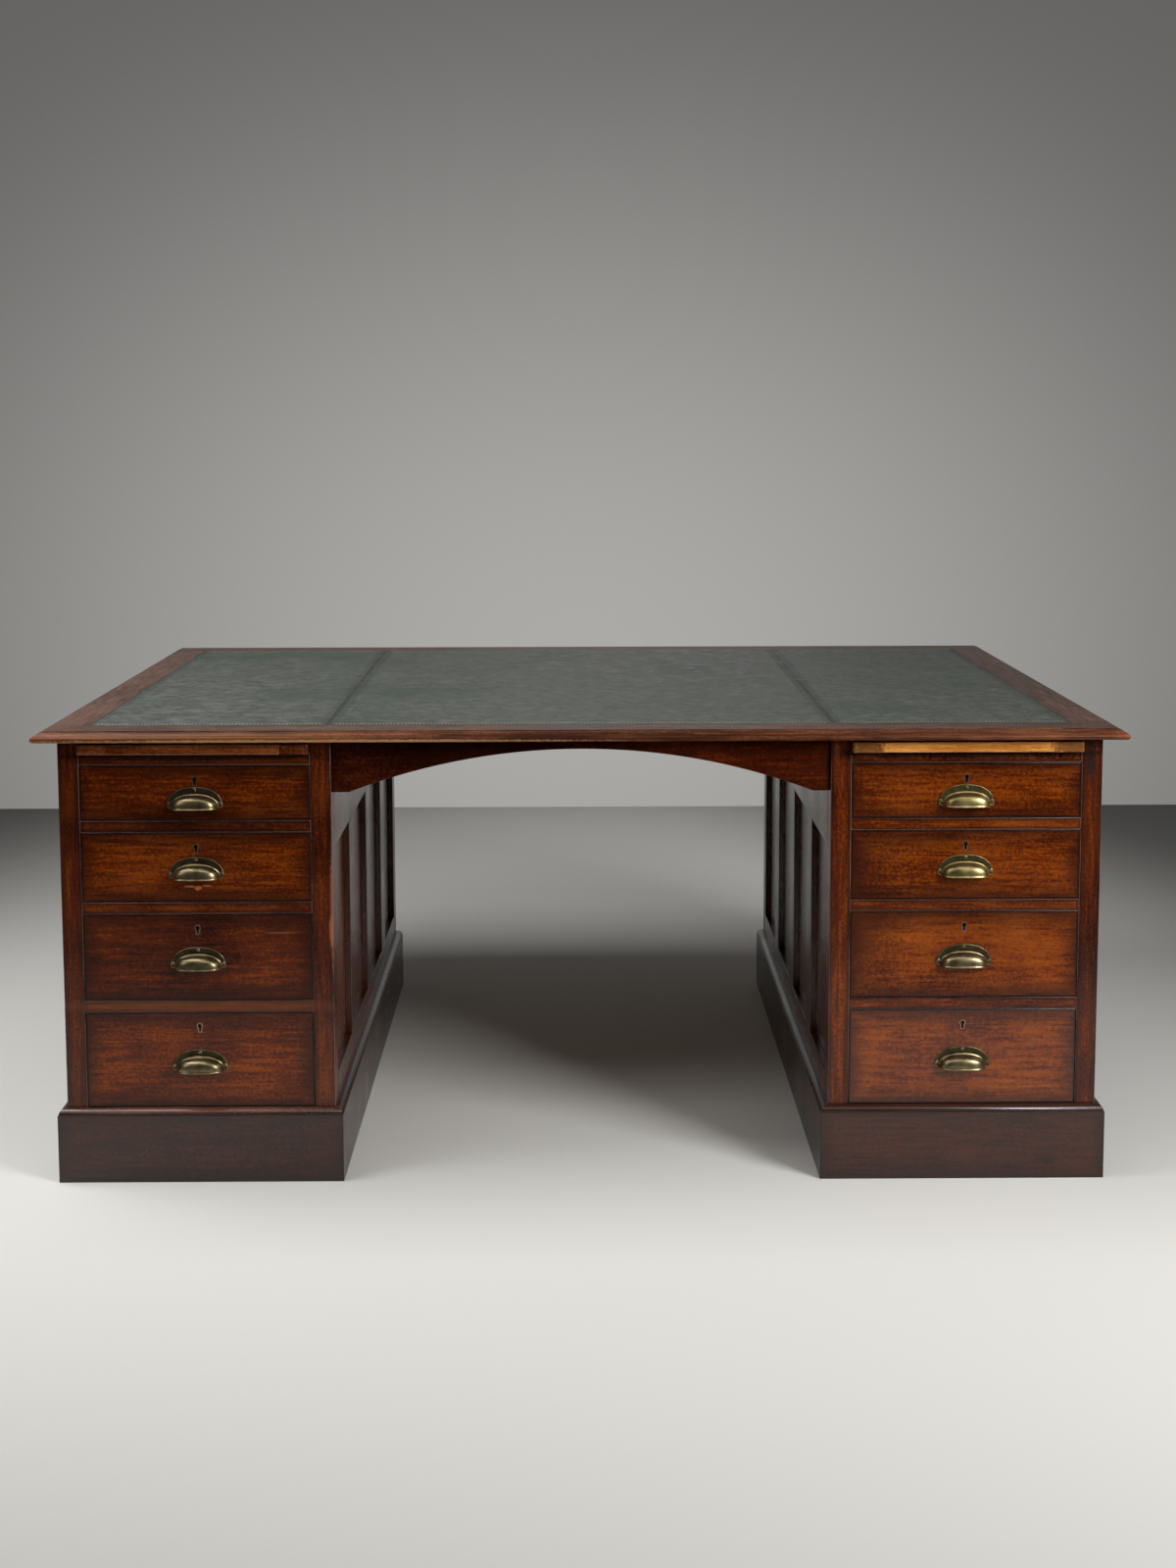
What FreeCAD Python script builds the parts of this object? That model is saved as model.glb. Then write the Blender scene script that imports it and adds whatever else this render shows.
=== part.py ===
"""A twin-pedestal partners desk: leather-lined top, drawers and slides to the front, cupboards behind.

Lengths are in millimetres. +X runs along the top, +Y from the front to the back and +Z up. The origin
is on the floor under the middle of the desk. The drawers face -Y.
"""
import FreeCAD, Part
import math
import os
import re
from collections import namedtuple

import Sketcher

SIZES = {
    # the whole desk
    "top_length": 1830,
    "top_depth": 1220,
    "desk_height": 780,
    # border and leather of the top
    "top_thickness": 18,
    "border_width": 79,
    "leather_thickness": 1.5,
    "leather_seam": 431,
    # moulded edge of the top: a rounded nose, a shallow ovolo and a small step up to the flat
    "edge_width": 18,
    "edge_step": 1.5,
    "nose_radius": 5.5,
    "ovolo_radius": 14,
    # arched aprons over the kneehole
    "apron_depth": 91,
    "apron_flat": 30,
    "apron_rise": 72.5,
    "apron_thickness": 22,
    "apron_setback": 6,
    # pedestals
    "overhang": 36,
    "pedestal_width": 458,
    "post_width": 35,
    "post_depth": 45,
    "post_lift": 3,
    "frame_thickness": 22,
    "side_top_rail": 192,
    "side_bottom_rail": 170,
    "muntin_width": 69,
    "panel_thickness": 8,
    "panel_recess": 11,
    "groove_depth": 8,
    "panel_play": 1,
    # plinth with its moulded top edge
    "plinth_height": 127.5,
    "plinth_projection": 14,
    "plinth_moulding": 11,
    "plinth_step": 1.5,
    "plinth_top_flat": 2.5,
    "plinth_ovolo": 10,
    # boards inside the pedestals
    "dust_board": 5,
    "bottom_board": 12,
    "partition_thickness": 16,
    "shelf_thickness": 16,
    "shelf_height": 420,
    "shelf_setback": 10,
    # rails and runners
    "rail_thickness": 19.5,
    "runner_width": 33,
    "guide_height": 20,
    # writing slides
    "slide_thickness": 17,
    "slide_back_gap": 72,
    "slide_projection": 18,
    "slide_cleat": 48,
    "slide_corner": 4,
    "slide_play": 0.5,
    # drawers, from the top one down, which share the height of the pedestal in these parts
    "drawer_1_part": 95.5,
    "drawer_2_part": 120.5,
    "drawer_3_part": 151,
    "drawer_4_part": 166.5,
    "drawer_depth": 600,
    "drawer_back_gap": 14,
    "drawer_play": 0.75,
    "runner_play": 0.3,
    "front_thickness": 20,
    "side_thickness": 10,
    "side_drop": 5,
    "back_drop": 3,
    "bottom_thickness": 7,
    "slip_width": 12,
    "slip_height": 8,
    # lapped dovetails of the drawer sides
    "tail_length": 14,
    "tail_width": 22,
    "tail_flare": 2.5,
    "tail_pitch": 50,
    # cup pulls
    "pull_width": 95,
    "pull_height": 36,
    "pull_plate": 2,
    "cup_width": 73,
    "cup_height": 25,
    "cup_end_radius": 18,
    "cup_wall": 2,
    "pull_drop": 7.5,
    # keyholes and locks
    "key_drop": 24.5,
    "key_head": 4,
    "key_slot": 4,
    "key_length": 10,
    "lock_width": 60,
    "lock_depth": 12,
    "lock_below_key": 14,
    # cupboard doors
    "door_thickness": 22,
    "door_play": 1,
    "door_stile": 50,
    "door_rail": 60,
    "door_key_height": 480,
    "door_lock_width": 36,
    # lift-off butt hinges
    "hinge_length": 64,
    "hinge_inset": 60,
    "leaf_width": 20,
    "leaf_thickness": 1.4,
    "leaf_gap": 0.3,
    "knuckle_radius": 4,
    "knuckle_stand": 4.5,
    "knuckle_gap": 0.3,
    "pin_radius": 2,
    "pin_length": 24,
    "pin_play": 0.05,
}

PANELS_PER_SIDE = 4
FEWEST_TAILS = 2
KEY_HEAD_SIDES = 8
PEDESTALS = ("left", "right")
QUARTER_TURN = 90

doc = FreeCAD.newDocument("PartnersDesk")
sheet = doc.addObject("Spreadsheet::Sheet", "Sizes")
for row, (alias, value) in enumerate(SIZES.items(), start=1):
    sheet.set(f"A{row}", alias.replace("_", " "))
    sheet.set(f"B{row}", str(value))
    sheet.setAlias(f"B{row}", alias)
doc.recompute()

# Places that several pieces share, as expressions over the sheet
UNDER_TOP = "(desk_height - top_thickness)"
FRONT = "(-top_depth / 2 + overhang)"
BACK = "(top_depth / 2 - overhang)"
PEDESTAL_DEPTH = "(top_depth - 2 * overhang)"
KNEEHOLE = "(top_length - 2 * overhang - 2 * pedestal_width)"
CENTRE = {
    "left": "(-top_length / 2 + overhang + pedestal_width / 2)",
    "right": "(top_length / 2 - overhang - pedestal_width / 2)",
}
BEHIND_POSTS = f"({FRONT} + post_depth)"
BEFORE_POSTS = f"({BACK} - post_depth)"
BETWEEN_POSTS = f"({PEDESTAL_DEPTH} - 2 * post_depth)"
OPENING_WIDTH = "(pedestal_width - 2 * post_width)"
BETWEEN_FRAMES = "(pedestal_width - 2 * frame_thickness)"
SLIDE_TOP = f"({UNDER_TOP} - dust_board - slide_play)"
SLIDE_BOTTOM = f"({SLIDE_TOP} - slide_thickness)"
SLIDE_LENGTH = "(slide_projection + drawer_depth + drawer_back_gap - slide_back_gap)"
UPPER_RAIL_TOP = f"({SLIDE_BOTTOM} - slide_play)"
BOTTOM_BOARD_TOP = "(plinth_height - rail_thickness)"
PARTITION_FRONT = f"({FRONT} + drawer_depth + drawer_back_gap)"
PARTITION_BACK = f"({PARTITION_FRONT} + partition_thickness)"
PANEL_BOTTOM = "(post_lift + side_bottom_rail)"
PANEL_TOP = f"({UNDER_TOP} - side_top_rail)"
PANEL_WIDTH = f"(({BETWEEN_POSTS} - {PANELS_PER_SIDE - 1} * muntin_width) / {PANELS_PER_SIDE})"
TONGUE = "(groove_depth - panel_play)"

DrawerOpening = namedtuple("DrawerOpening", "top bottom pull_drop")


def drawer_openings():
    """The four openings of a pedestal, from the top one down."""
    parts = [f"drawer_{number}_part" for number in (1, 2, 3, 4)]
    shared_height = f"({UPPER_RAIL_TOP} - {len(parts)} * rail_thickness - plinth_height)"
    openings = []
    top = f"({UPPER_RAIL_TOP} - rail_thickness)"
    for part in parts:
        bottom = f"({top} - {shared_height} * {part} / ({' + '.join(parts)}))"
        openings.append(DrawerOpening(top, bottom, "pull_drop" if not openings else "0"))
        top = f"({bottom} - rail_thickness)"
    return openings


OPENINGS = drawer_openings()
DOOR_BOTTOM = "(plinth_height + door_play)"
DOOR_TOP = f"({OPENINGS[0].top} - door_play)"

WORD = re.compile(r"\b[a-z][a-z0-9_]*\b")


def over_sheet(text):
    """The expression with each size written as a cell of the sheet."""
    return WORD.sub(lambda word: "Sizes." + word[0] if word[0] in SIZES else word[0], text)


def worth(text):
    """The number that an expression stands for."""
    result = sheet.evalExpression(over_sheet(text))
    return float(getattr(result, "Value", result))


def bind(piece, **properties):
    """Ties properties of a piece to the sheet."""
    for name, text in properties.items():
        piece.setExpression(name, over_sheet(text))


def place(piece, corner):
    """Ties the place of a piece to the sheet."""
    for axis, text in zip("xyz", corner):
        piece.setExpression(f"Placement.Base.{axis}", over_sheet(text))
    return piece


def board(name, corner, size):
    """A square-edged board from its low corner and its three sizes."""
    piece = doc.addObject("Part::Box", name)
    length, width, height = size
    bind(piece, Length=length, Width=width, Height=height)
    return place(piece, corner)


def rod(name, foot, radius, height):
    """An upright round rod."""
    piece = doc.addObject("Part::Cylinder", name)
    bind(piece, Radius=radius, Height=height)
    return place(piece, foot)


def cut(name, base, *tools):
    """The base with every tool taken out of it."""
    piece = doc.addObject("Part::Cut", name)
    piece.Base = base
    piece.Tool = tools[0] if len(tools) == 1 else group(name + "_tools", tools)
    return piece


def joined(name, *members):
    """Several shapes worked from one piece."""
    piece = doc.addObject("Part::MultiFuse", name)
    piece.Shapes = list(members)
    piece.Refine = True
    return piece


def shared(name, base, tool):
    """What two shapes have in common."""
    piece = doc.addObject("Part::Common", name)
    piece.Base = base
    piece.Tool = tool
    return piece


def group(name, members):
    """Separate solids kept side by side."""
    piece = doc.addObject("Part::Compound", name)
    piece.Links = list(members)
    return piece


# Point of an outline; with a radius, an arc runs on to the next point, to the left (1) or to the right (-1)
Corner = namedtuple("Corner", "x y radius turn", defaults=(None, 1))


def arc_between(start, end, radius, turn):
    """The shorter arc of a radius between two points, turning left (1) or right (-1)."""
    chord = end - start
    left = FreeCAD.Vector(-chord.y, chord.x, 0).normalize()
    reach = math.sqrt(max(0.0, radius ** 2 - chord.Length ** 2 / 4))
    middle = (start + end) / 2 + left * (turn * reach)
    first, last = (start, end) if turn > 0 else (end, start)
    angles = [math.atan2(point.y - middle.y, point.x - middle.x) for point in (first, last)]
    if angles[1] < angles[0]:
        angles[1] += 2 * math.pi
    return Part.ArcOfCircle(Part.Circle(middle, FreeCAD.Vector(0, 0, 1), radius), *angles)


def draw(sketch, corners):
    """Adds a closed outline of lines and arcs, with every corner and radius tied to the sheet."""
    points = [FreeCAD.Vector(worth(corner.x), worth(corner.y), 0) for corner in corners]
    ends = []
    for index, corner in enumerate(corners):
        start = points[index]
        end = points[(index + 1) % len(points)]
        if corner.radius is None:
            edge = sketch.addGeometry(Part.LineSegment(start, end))
            ends.append((edge, 1, 2))
        else:
            arc = arc_between(start, end, worth(corner.radius), corner.turn)
            edge = sketch.addGeometry(arc)
            ends.append((edge, 1, 2) if corner.turn > 0 else (edge, 2, 1))
    for index, (edge, start, end) in enumerate(ends):
        following, following_start, _ = ends[(index + 1) % len(ends)]
        sketch.addConstraint(Sketcher.Constraint("Coincident", edge, end, following, following_start))
    for corner, point, (edge, start, _) in zip(corners, points, ends):
        dimension(sketch, ("DistanceX", -1, 1, edge, start), point.x, corner.x)
        dimension(sketch, ("DistanceY", -1, 1, edge, start), point.y, corner.y)
        if corner.radius is not None:
            dimension(sketch, ("Radius", edge), worth(corner.radius), corner.radius)


def dimension(sketch, kind, size, text):
    """One dimension of a sketch, tied to the sheet."""
    number = sketch.addConstraint(Sketcher.Constraint(*kind, size))
    sketch.setExpression(f"Constraints[{number}]", over_sheet(text))


def sketched(body, name, role, *outlines):
    """A sketch on one of the body's origin planes."""
    sketch = body.newObject("Sketcher::SketchObject", name)
    plane = next(feature for feature in body.Origin.OriginFeatures if feature.Role == role)
    sketch.AttachmentSupport = [(plane, "")]
    sketch.MapMode = "FlatFace"
    for outline in outlines:
        draw(sketch, outline)
    return sketch


def padded(name, role, length, *outlines, reverse=False):
    """A body that is one outline carried through a length."""
    body = doc.addObject("PartDesign::Body", name)
    pad = body.newObject("PartDesign::Pad", name + "_pad")
    pad.Profile = sketched(body, name + "_outline", role, *outlines)
    pad.Reversed = reverse
    bind(pad, Length=length)
    return body


def turned(body, name, sketch, axis, angle):
    """Adds an outline turned about one of its sketch's axes."""
    revolution = body.newObject("PartDesign::Revolution", name)
    revolution.Profile = sketch
    revolution.ReferenceAxis = (sketch, [axis])
    revolution.Angle = angle
    return revolution


# The top: two moulded sections crossed to one slab, which is then sawn into its four border boards
def moulded_section(span):
    """Outline of the top cut across: flat above and below, with a moulded edge at either end."""
    nose = "nose_radius"
    step = "(top_thickness - edge_step)"
    near_edge = [
        Corner("edge_width", "top_thickness"),
        Corner("edge_width", step, "ovolo_radius", 1),
        Corner(nose, f"2 * {nose}", nose, 1),
        Corner("0", nose, nose, 1),
        Corner(nose, "0"),
    ]
    far_edge = [
        Corner(f"{span} - {nose}", "0", nose, 1),
        Corner(span, nose, nose, 1),
        Corner(f"{span} - {nose}", f"2 * {nose}", "ovolo_radius", 1),
        Corner(f"{span} - edge_width", step),
        Corner(f"{span} - edge_width", "top_thickness"),
    ]
    return near_edge + far_edge


def top_pieces():
    """Border boards, core board and the three leather panels."""
    corner = ("-top_length / 2", "-top_depth / 2", UNDER_TOP)
    along = place(padded("top_long_section", "YZ_Plane", "top_length", moulded_section("top_depth")), corner)
    across = padded("top_cross_section", "XZ_Plane", "top_depth", moulded_section("top_length"), reverse=True)
    slab = shared("top_slab", along, place(across, corner))
    # The saw lines start clear of the slab on its outside, above and below
    low = f"{UNDER_TOP} - border_width"
    tall = "top_thickness + 2 * border_width"
    full = "top_length + 2 * border_width"
    wide = "2 * border_width"
    inner_length = "(top_length - 2 * border_width)"
    inner_depth = "(top_depth - 2 * border_width)"
    left = "-top_length / 2 - border_width"
    front = "-top_depth / 2 - border_width"
    regions = {
        "top_front_board": ((left, front, low), (full, wide, tall)),
        "top_back_board": ((left, "top_depth / 2 - border_width", low), (full, wide, tall)),
        "top_left_board": ((left, f"-{inner_depth} / 2", low), (wide, inner_depth, tall)),
        "top_right_board": ((f"{inner_length} / 2", f"-{inner_depth} / 2", low), (wide, inner_depth, tall)),
    }
    pieces = {}
    for name, (start, size) in regions.items():
        pieces[name] = shared(name, slab, board(name + "_saw", start, size))
    corner = (f"-{inner_length} / 2", f"-{inner_depth} / 2", UNDER_TOP)
    core_size = (inner_length, inner_depth, "top_thickness - leather_thickness")
    pieces["top_core"] = board("top_core", corner, core_size)
    lining = "desk_height - leather_thickness"
    wing = f"({inner_length} / 2 - leather_seam)"
    panels = {
        "leather_left": (f"-{inner_length} / 2", wing),
        "leather_centre": ("-leather_seam", "2 * leather_seam"),
        "leather_right": ("leather_seam", wing),
    }
    for name, (start, width) in panels.items():
        size = (width, inner_depth, "leather_thickness")
        pieces[name] = board(name, (start, f"-{inner_depth} / 2", lining), size)
    return pieces


def apron_pieces():
    """The arched aprons that span the kneehole at the front and the back."""
    half_arch = f"({KNEEHOLE} / 2 - apron_flat)"
    arch_radius = f"(({half_arch}) ^ 2 + apron_rise ^ 2) / (2 * apron_rise)"
    outline = [
        Corner("0", "0"),
        Corner("apron_flat", "0", arch_radius, -1),
        Corner(f"{KNEEHOLE} - apron_flat", "0"),
        Corner(KNEEHOLE, "0"),
        Corner(KNEEHOLE, "apron_depth"),
        Corner("0", "apron_depth"),
    ]
    inner_faces = {
        "front_apron": f"{FRONT} + apron_setback + apron_thickness",
        "rear_apron": f"{BACK} - apron_setback",
    }
    pieces = {}
    for name, face in inner_faces.items():
        apron = padded(name, "XZ_Plane", "apron_thickness", outline)
        pieces[name] = place(apron, (f"-{KNEEHOLE} / 2", face, f"{UNDER_TOP} - apron_depth"))
    return pieces


def from_face(pedestal, side, start, width):
    """Low X of something that lies a way inside the left (-1) or right (1) face of a pedestal."""
    if side < 0:
        return f"{CENTRE[pedestal]} - pedestal_width / 2 + {start}"
    return f"{CENTRE[pedestal]} + pedestal_width / 2 - ({start}) - ({width})"


def outer_side(pedestal):
    """The side of a pedestal that faces away from the kneehole."""
    return -1 if pedestal == "left" else 1


def corner_posts(pedestal, fixed_leaves):
    """Four posts, each grooved for a side frame; the outer rear one is let in for the hinges."""
    posts = []
    for side in (-1, 1):
        start = from_face(pedestal, side, "0", "post_width")
        groove_start = from_face(pedestal, side, "panel_recess", "panel_thickness")
        for end, low, groove_low in (
            ("front", FRONT, f"{BEHIND_POSTS} - groove_depth"),
            ("rear", BEFORE_POSTS, BEFORE_POSTS),
        ):
            name = f"{pedestal}_{end}_post_{side + 1}"
            height = f"{UNDER_TOP} - post_lift"
            blank = board(name + "_blank", (start, low, "post_lift"), ("post_width", "post_depth", height))
            groove_corner = (groove_start, groove_low, "post_lift")
            groove = board(name + "_groove", groove_corner, ("panel_thickness", "groove_depth", height))
            tools = [groove]
            if end == "rear" and side == outer_side(pedestal):
                tools.append(fixed_leaves)
            posts.append(cut(name, blank, *tools))
    return group(f"{pedestal}_corner_posts", posts)


def side_rail(pedestal, side, name, low, high, groove_low, tenon_low, tenon_high):
    """A rail of a side frame, grooved for the panels, with a stub tenon at either end."""
    start = from_face(pedestal, side, "0", "frame_thickness")
    inset = from_face(pedestal, side, "panel_recess", "panel_thickness")
    blank_size = ("frame_thickness", BETWEEN_POSTS, f"{high} - {low}")
    blank = board(name + "_blank", (start, BEHIND_POSTS, low), blank_size)
    tenon_size = ("panel_thickness", f"{BETWEEN_POSTS} + 2 * {TONGUE}", f"{tenon_high} - {tenon_low}")
    tenons = board(name + "_tenons", (inset, f"{BEHIND_POSTS} - {TONGUE}", tenon_low), tenon_size)
    groove_size = ("panel_thickness", BETWEEN_POSTS, "groove_depth")
    groove = board(name + "_groove", (inset, BEHIND_POSTS, groove_low), groove_size)
    return cut(name, joined(name + "_body", blank, tenons), groove)


def side_muntin(pedestal, side, name, low_y):
    """An upright between two panels, grooved along both edges, with a stub tenon at top and bottom."""
    start = from_face(pedestal, side, "0", "frame_thickness")
    inset = from_face(pedestal, side, "panel_recess", "panel_thickness")
    height = f"{PANEL_TOP} - {PANEL_BOTTOM}"
    blank = board(name + "_blank", (start, low_y, PANEL_BOTTOM), ("frame_thickness", "muntin_width", height))
    tenon_corner = (inset, f"{low_y} + groove_depth", f"{PANEL_BOTTOM} - {TONGUE}")
    tenon_size = ("panel_thickness", "muntin_width - 2 * groove_depth", f"{height} + 2 * {TONGUE}")
    tenons = board(name + "_tenons", tenon_corner, tenon_size)
    groove_size = ("panel_thickness", "groove_depth", height)
    near = board(name + "_near_groove", (inset, low_y, PANEL_BOTTOM), groove_size)
    far_y = f"{low_y} + muntin_width - groove_depth"
    far = board(name + "_far_groove", (inset, far_y, PANEL_BOTTOM), groove_size)
    return cut(name, joined(name + "_body", blank, tenons), near, far)


def side_pieces(pedestal):
    """Both framed and panelled sides of a pedestal."""
    frames = []
    panels = []
    for side in (-1, 1):
        stem = f"{pedestal}_side_{side + 1}"
        top_rail_groove = f"({PANEL_TOP} + groove_depth)"
        frames.append(side_rail(pedestal, side, stem + "_top_rail", PANEL_TOP, UNDER_TOP,
                                PANEL_TOP, top_rail_groove, UNDER_TOP))
        bottom_rail_groove = f"({PANEL_BOTTOM} - groove_depth)"
        frames.append(side_rail(pedestal, side, stem + "_bottom_rail", "post_lift", PANEL_BOTTOM,
                                bottom_rail_groove, "post_lift", bottom_rail_groove))
        inset = from_face(pedestal, side, "panel_recess", "panel_thickness")
        for number in range(PANELS_PER_SIDE):
            low_y = f"({BEHIND_POSTS} + {number} * ({PANEL_WIDTH} + muntin_width))"
            panel_corner = (inset, f"{low_y} - {TONGUE}", f"{PANEL_BOTTOM} - {TONGUE}")
            panel_height = f"{PANEL_TOP} - {PANEL_BOTTOM} + 2 * {TONGUE}"
            panel_size = ("panel_thickness", f"{PANEL_WIDTH} + 2 * {TONGUE}", panel_height)
            panels.append(board(f"{stem}_panel_{number}", panel_corner, panel_size))
            if number < PANELS_PER_SIDE - 1:
                muntin_y = f"({low_y} + {PANEL_WIDTH})"
                frames.append(side_muntin(pedestal, side, f"{stem}_muntin_{number}", muntin_y))
    return {
        f"{pedestal}_side_frames": group(f"{pedestal}_side_frames", frames),
        f"{pedestal}_side_panels": group(f"{pedestal}_side_panels", panels),
    }


def cross_rails(pedestal):
    """Rails across the front between the drawers, and above and below the cupboard door."""
    start = from_face(pedestal, -1, "post_width", OPENING_WIDTH)
    front_lows = [opening.top for opening in OPENINGS] + [BOTTOM_BOARD_TOP]
    rails = []
    for number, low in enumerate(front_lows):
        size = (OPENING_WIDTH, "post_depth", "rail_thickness")
        rails.append(board(f"{pedestal}_front_rail_{number}", (start, FRONT, low), size))
    door_head = f"{UNDER_TOP} - dust_board - {OPENINGS[0].top}"
    rear = {"head": (OPENINGS[0].top, door_head), "foot": (BOTTOM_BOARD_TOP, "rail_thickness")}
    for name, (low, height) in rear.items():
        size = (OPENING_WIDTH, "post_depth", height)
        rails.append(board(f"{pedestal}_rear_{name}_rail", (start, BEFORE_POSTS, low), size))
    return group(f"{pedestal}_cross_rails", rails)


def runners(pedestal):
    """Runners and guides for the slide and the drawers, and the bearers of the cupboard shelf."""
    length = f"({PARTITION_FRONT} - {BEHIND_POSTS})"
    guide_width = "(post_width - frame_thickness)"
    pieces = []
    for side in (-1, 1):
        runner_x = from_face(pedestal, side, "frame_thickness", "runner_width")
        guide_x = from_face(pedestal, side, "frame_thickness", guide_width)
        levels = [(opening.top, "guide_height") for opening in OPENINGS[1:]]
        levels.append((BOTTOM_BOARD_TOP, "guide_height"))
        levels.append((OPENINGS[0].top, f"{UNDER_TOP} - {UPPER_RAIL_TOP}"))
        for number, (low, guide_height) in enumerate(levels):
            stem = f"{pedestal}_{side + 1}_{number}"
            size = ("runner_width", length, "rail_thickness")
            pieces.append(board("runner_" + stem, (runner_x, BEHIND_POSTS, low), size))
            guide_corner = (guide_x, BEHIND_POSTS, f"{low} + rail_thickness")
            pieces.append(board("guide_" + stem, guide_corner, (guide_width, length, guide_height)))
        bearer_corner = (runner_x, PARTITION_BACK, "shelf_height - rail_thickness")
        bearer_size = ("runner_width", f"{BEFORE_POSTS} - {PARTITION_BACK}", "rail_thickness")
        pieces.append(board(f"bearer_{pedestal}_{side + 1}", bearer_corner, bearer_size))
    return group(f"{pedestal}_runners", pieces)


def inner_boards(pedestal):
    """Dust board, bottom, partition behind the drawers and cupboard shelf."""
    inside = from_face(pedestal, -1, "frame_thickness", BETWEEN_FRAMES)
    opening = from_face(pedestal, -1, "post_width", OPENING_WIDTH)
    bottom_corner = (inside, BEHIND_POSTS, f"{BOTTOM_BOARD_TOP} - bottom_board")
    partition_height = f"{UNDER_TOP} - dust_board - {BOTTOM_BOARD_TOP}"
    shelf_depth = f"{BEFORE_POSTS} - {PARTITION_BACK} - shelf_setback"
    boards = [
        board(f"{pedestal}_dust_board", (opening, FRONT, f"{UNDER_TOP} - dust_board"),
              (OPENING_WIDTH, PEDESTAL_DEPTH, "dust_board")),
        board(f"{pedestal}_bottom", bottom_corner, (BETWEEN_FRAMES, BETWEEN_POSTS, "bottom_board")),
        board(f"{pedestal}_partition", (inside, PARTITION_FRONT, BOTTOM_BOARD_TOP),
              (BETWEEN_FRAMES, "partition_thickness", partition_height)),
        board(f"{pedestal}_shelf", (inside, PARTITION_BACK, "shelf_height"),
              (BETWEEN_FRAMES, shelf_depth, "shelf_thickness")),
    ]
    return group(f"{pedestal}_inner_boards", boards)


def plinth_board(name, length):
    """A plinth board with an ovolo along its top, mitred at both ends."""
    shoulder = "plinth_height - plinth_moulding"
    profile = [
        Corner("0", "0"),
        Corner("plinth_projection", "0"),
        Corner("plinth_projection", "plinth_height"),
        Corner("plinth_projection - plinth_top_flat", "plinth_height", "plinth_ovolo", 1),
        Corner("plinth_step", f"{shoulder} + plinth_step"),
        Corner("plinth_step", shoulder),
        Corner("0", shoulder),
    ]
    body = padded(name, "YZ_Plane", length, profile)
    # Each mitre starts clear of the board on its outside
    clear = "plinth_projection"
    mitres = [
        [Corner(f"-{clear}", f"-{clear}"), Corner(f"2 * {clear}", f"2 * {clear}"),
         Corner(f"-{clear}", f"2 * {clear}")],
        [Corner(f"{length} + {clear}", f"-{clear}"), Corner(f"{length} + {clear}", f"2 * {clear}"),
         Corner(f"{length} - 2 * {clear}", f"2 * {clear}")],
    ]
    pocket = body.newObject("PartDesign::Pocket", name + "_mitres")
    pocket.Profile = sketched(body, name + "_mitre_lines", "XY_Plane", *mitres)
    pocket.Type = "ThroughAll"
    pocket.Reversed = True
    return body


def plinth(pedestal):
    """Four mitred boards round the foot of a pedestal."""
    left = from_face(pedestal, -1, "-plinth_projection", "0")
    right = from_face(pedestal, 1, "-plinth_projection", "0")
    front = f"{FRONT} - plinth_projection"
    back = f"{BACK} + plinth_projection"
    wide = "(pedestal_width + 2 * plinth_projection)"
    deep = f"({PEDESTAL_DEPTH} + 2 * plinth_projection)"
    sides = (("front", left, front, wide), ("right", right, front, deep),
             ("back", right, back, wide), ("left", left, back, deep))
    boards = []
    for turns, (name, x, y, length) in enumerate(sides):
        piece = plinth_board(f"{pedestal}_plinth_{name}", length)
        piece.Placement.Rotation = FreeCAD.Rotation(FreeCAD.Vector(0, 0, 1), turns * QUARTER_TURN)
        boards.append(place(piece, (x, y, "0")))
    return group(f"{pedestal}_plinth", boards)


def writing_slide(pedestal):
    """A pull-out board between two cleats, which show their end grain at the front."""
    width = f"({OPENING_WIDTH} - 2 * slide_play)"
    left = from_face(pedestal, -1, "post_width + slide_play", width)
    front = f"{FRONT} - slide_projection"
    middle = board(f"{pedestal}_slide_board", (f"{left} + slide_cleat", front, SLIDE_BOTTOM),
                   (f"{width} - 2 * slide_cleat", SLIDE_LENGTH, "slide_thickness"))
    left_outline = [
        Corner("slide_corner", "0"),
        Corner("slide_cleat", "0"),
        Corner("slide_cleat", SLIDE_LENGTH),
        Corner("0", SLIDE_LENGTH),
        Corner("0", "slide_corner", "slide_corner", 1),
    ]
    right_outline = [
        Corner("0", "0"),
        Corner("slide_cleat - slide_corner", "0", "slide_corner", 1),
        Corner("slide_cleat", "slide_corner"),
        Corner("slide_cleat", SLIDE_LENGTH),
        Corner("0", SLIDE_LENGTH),
    ]
    cleats = []
    for name, outline, x in (
        ("left", left_outline, left),
        ("right", right_outline, f"{left} + {width} - slide_cleat"),
    ):
        cleat = padded(f"{pedestal}_slide_{name}_cleat", "XY_Plane", "slide_thickness", outline)
        cleats.append(place(cleat, (x, front, SLIDE_BOTTOM)))
    return group(f"{pedestal}_slide", [middle, *cleats])


Arch = namedtuple("Arch", "half_span rise end_radius shoulder_x shoulder_y crown_radius")


def three_centred(half_span, rise, end_radius):
    """An arch of a wide crown arc between two smaller end arcs, which meet it smoothly at the shoulders."""
    reach = f"({half_span} - {end_radius})"
    lift = f"({rise} - {end_radius})"
    # The crown's centre lies below the feet
    drop = f"(({reach} ^ 2 - {lift} ^ 2) / (2 * {lift}))"
    slant = f"sqrt({reach} ^ 2 + {drop} ^ 2)"
    crown_radius = f"({rise} + {drop})"
    shoulder_x = f"({reach} * {crown_radius} / {slant})"
    shoulder_y = f"({drop} * {crown_radius} / {slant} - {drop})"
    return Arch(half_span, rise, end_radius, shoulder_x, shoulder_y, crown_radius)


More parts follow.
